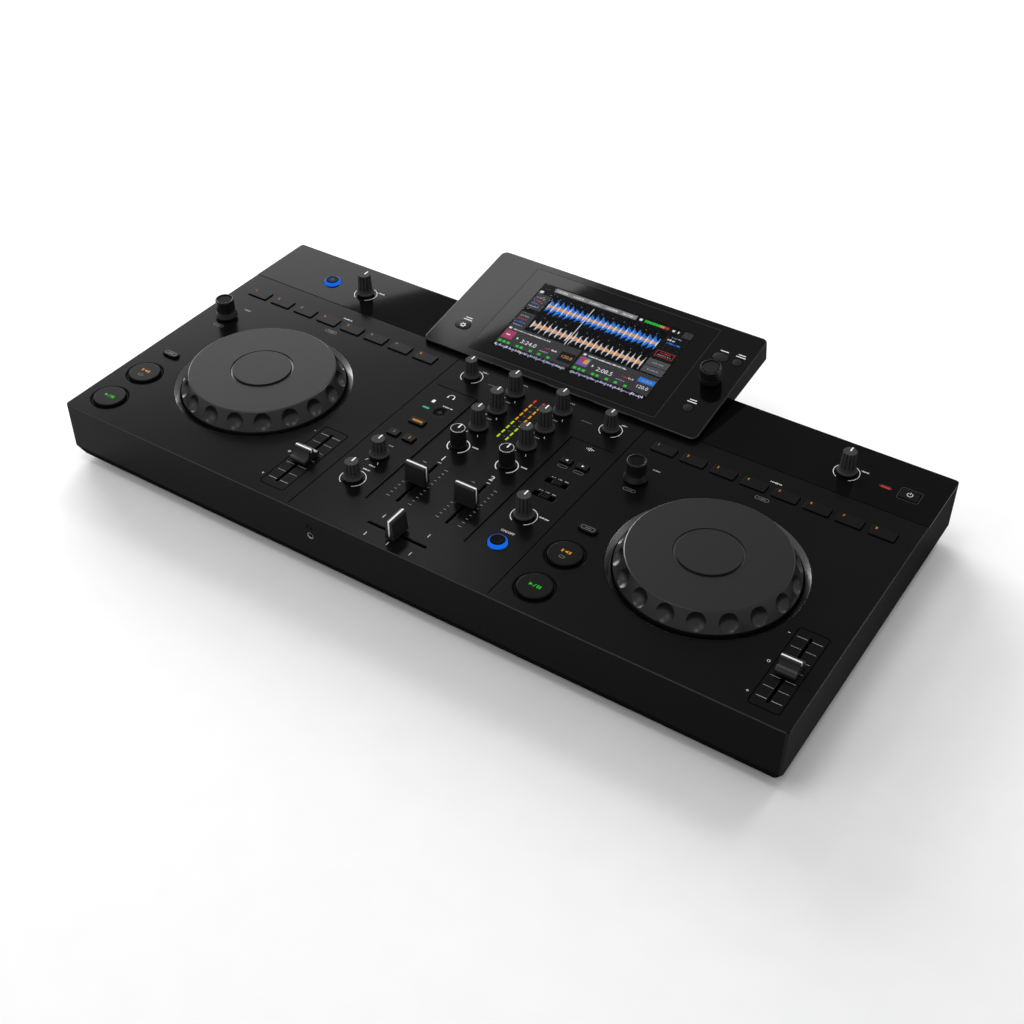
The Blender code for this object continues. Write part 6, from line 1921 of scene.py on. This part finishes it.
red = Vector((LED_CHANNEL.x, FRONT + LED_CHANNEL.y, TOP - 0.5 * MM))
slim = Vector((3.6 * MM, 0.8 * MM, 0.4 * MM))
keep("power_lamp", block(red - slim, red + slim, 0.6 * MM, 0.1 * MM), lamp_red)
print("meter lamps:", 2 * METER_COUNT)

# %% [markdown]
# ## Studio
# The controller stands on a pale floor, which is part of the stage and not of the model. It reaches many
# metres each way, so that its edge is far off from every side.

# %% Floor
FLOOR_HALF = 12.0
floor_shape = bmesh.new()
bmesh.ops.create_grid(floor_shape, x_segments=1, y_segments=1, size=FLOOR_HALF)
floor_mesh = bpy.data.meshes.new("studio_floor")
floor_shape.to_mesh(floor_mesh)
floor_shape.free()
floor = bpy.data.objects.new("studio_floor", floor_mesh)
bpy.context.collection.objects.link(floor)
floor.location.z = cad_low.z
paper = Finish("studio_paper", grey(0.92), 0.9, 0.1)
fibres = paper.grain(30 * MM)
paper.vary("Base Color", paper.tint(grey(0.9), grey(0.94), fibres))
floor_mesh.materials.append(paper.material)
floor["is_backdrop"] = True
print("floor: %.0f m wide" % (2 * FLOOR_HALF))

# %% [markdown]
# The light is soft. A wide, low lamp behind and to the left gives the panel a sheen that fades towards the
# front right, and its edge cuts across the polished strip. A small high lamp is mirrored in the display, one
# behind the right draws the rims of the jog wells, one overhead glints on rounded edges, and a weak one in
# front opens the shadows.


# %% Lamps
def soft_lamp(name, place, target, wide, long, power):
    """A flat lamp at a place that faces a target; sizes are in metres and power is in watts."""
    light = bpy.data.lights.new(name, "AREA")
    light.shape = "RECTANGLE"
    light.size = wide
    light.size_y = long
    light.energy = power
    made = bpy.data.objects.new(name, light)
    made.location = place
    made.rotation_euler = (Vector(target) - Vector(place)).to_track_quat("-Z", "Y").to_euler()
    bpy.context.collection.objects.link(made)


soft_lamp("low_lamp", (-1.685, 1.31, 0.755), (-0.041, 0.22, 0.755), 1.9, 1.13, 76)
soft_lamp("high_lamp", (-1.147, 1.230, 1.72), (0.521, 0.125, 1.72), 0.42, 0.3, 4)
soft_lamp("rim_lamp", (0.52, 1.4, 1.56), (-0.26, 0, 0.05), 0.5, 0.35, 7)
soft_lamp("front_lamp", (-1.4, -1.8, 1.6), (0, 0, 0), 1.5, 1.5, 10)
soft_lamp("top_lamp", (-0.35, -0.3, 2.4), (0, 0, 0), 0.9, 0.9, 12)
print("lamps:", len(bpy.data.lights))

# %% [markdown]
# The surroundings look white to the camera and in reflections, but they light the scene with less than that, so
# that the lamps still shape it.

# %% Surroundings
SKY_LIGHT = 0.44
world = bpy.data.worlds.new("studio")
bpy.context.scene.world = world
sky = Nodes(world, "Background")
sky.set("Color", (1, 1, 1, 1))
camera_ray, glossy_ray, clear_ray = [
    sky.node("ShaderNodeLightPath", {}, {}, f"Is {kind} Ray") for kind in ("Camera", "Glossy", "Transmission")
]
seen = camera_ray.sum("MAXIMUM", camera_ray.sum("MAXIMUM", camera_ray, glossy_ray), clear_ray)
sky.vary("Strength", SKY_LIGHT + seen * (1 - SKY_LIGHT))
bpy.context.scene.view_settings.view_transform = "Standard"
print("studio ready")

# %% [markdown]
# ## Camera
# The picture is taken from the front right, about 40 degrees above the table, with a slightly long lens.

# %% Camera
EYE = Vector((0.4920, -0.75843, 0.7342))
AHEAD = Vector((-0.41779, 0.63608, -0.64873))
UPWARD = Vector((-0.35557, 0.54260, 0.76102))
lens = bpy.data.cameras.new("camera")
lens.lens = 52.457
lens.sensor_width = 36
camera = bpy.data.objects.new("camera", lens)
across = AHEAD.cross(UPWARD)
camera.matrix_world = Matrix.Translation(EYE) @ Matrix((across, UPWARD, -AHEAD)).transposed().to_4x4()
bpy.context.collection.objects.link(camera)
bpy.context.scene.camera = camera
print("camera at", tuple(round(v, 3) for v in EYE))

# %% [markdown]
# ## Last look
# The size of the dressed model is set against the size of the frame, and the difference along each axis is printed.

# %% Sizes and finish
low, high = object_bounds()
print("grown by", [round((b - a) / MM, 2) for a, b in zip(high - low, cad_high - cad_low)])
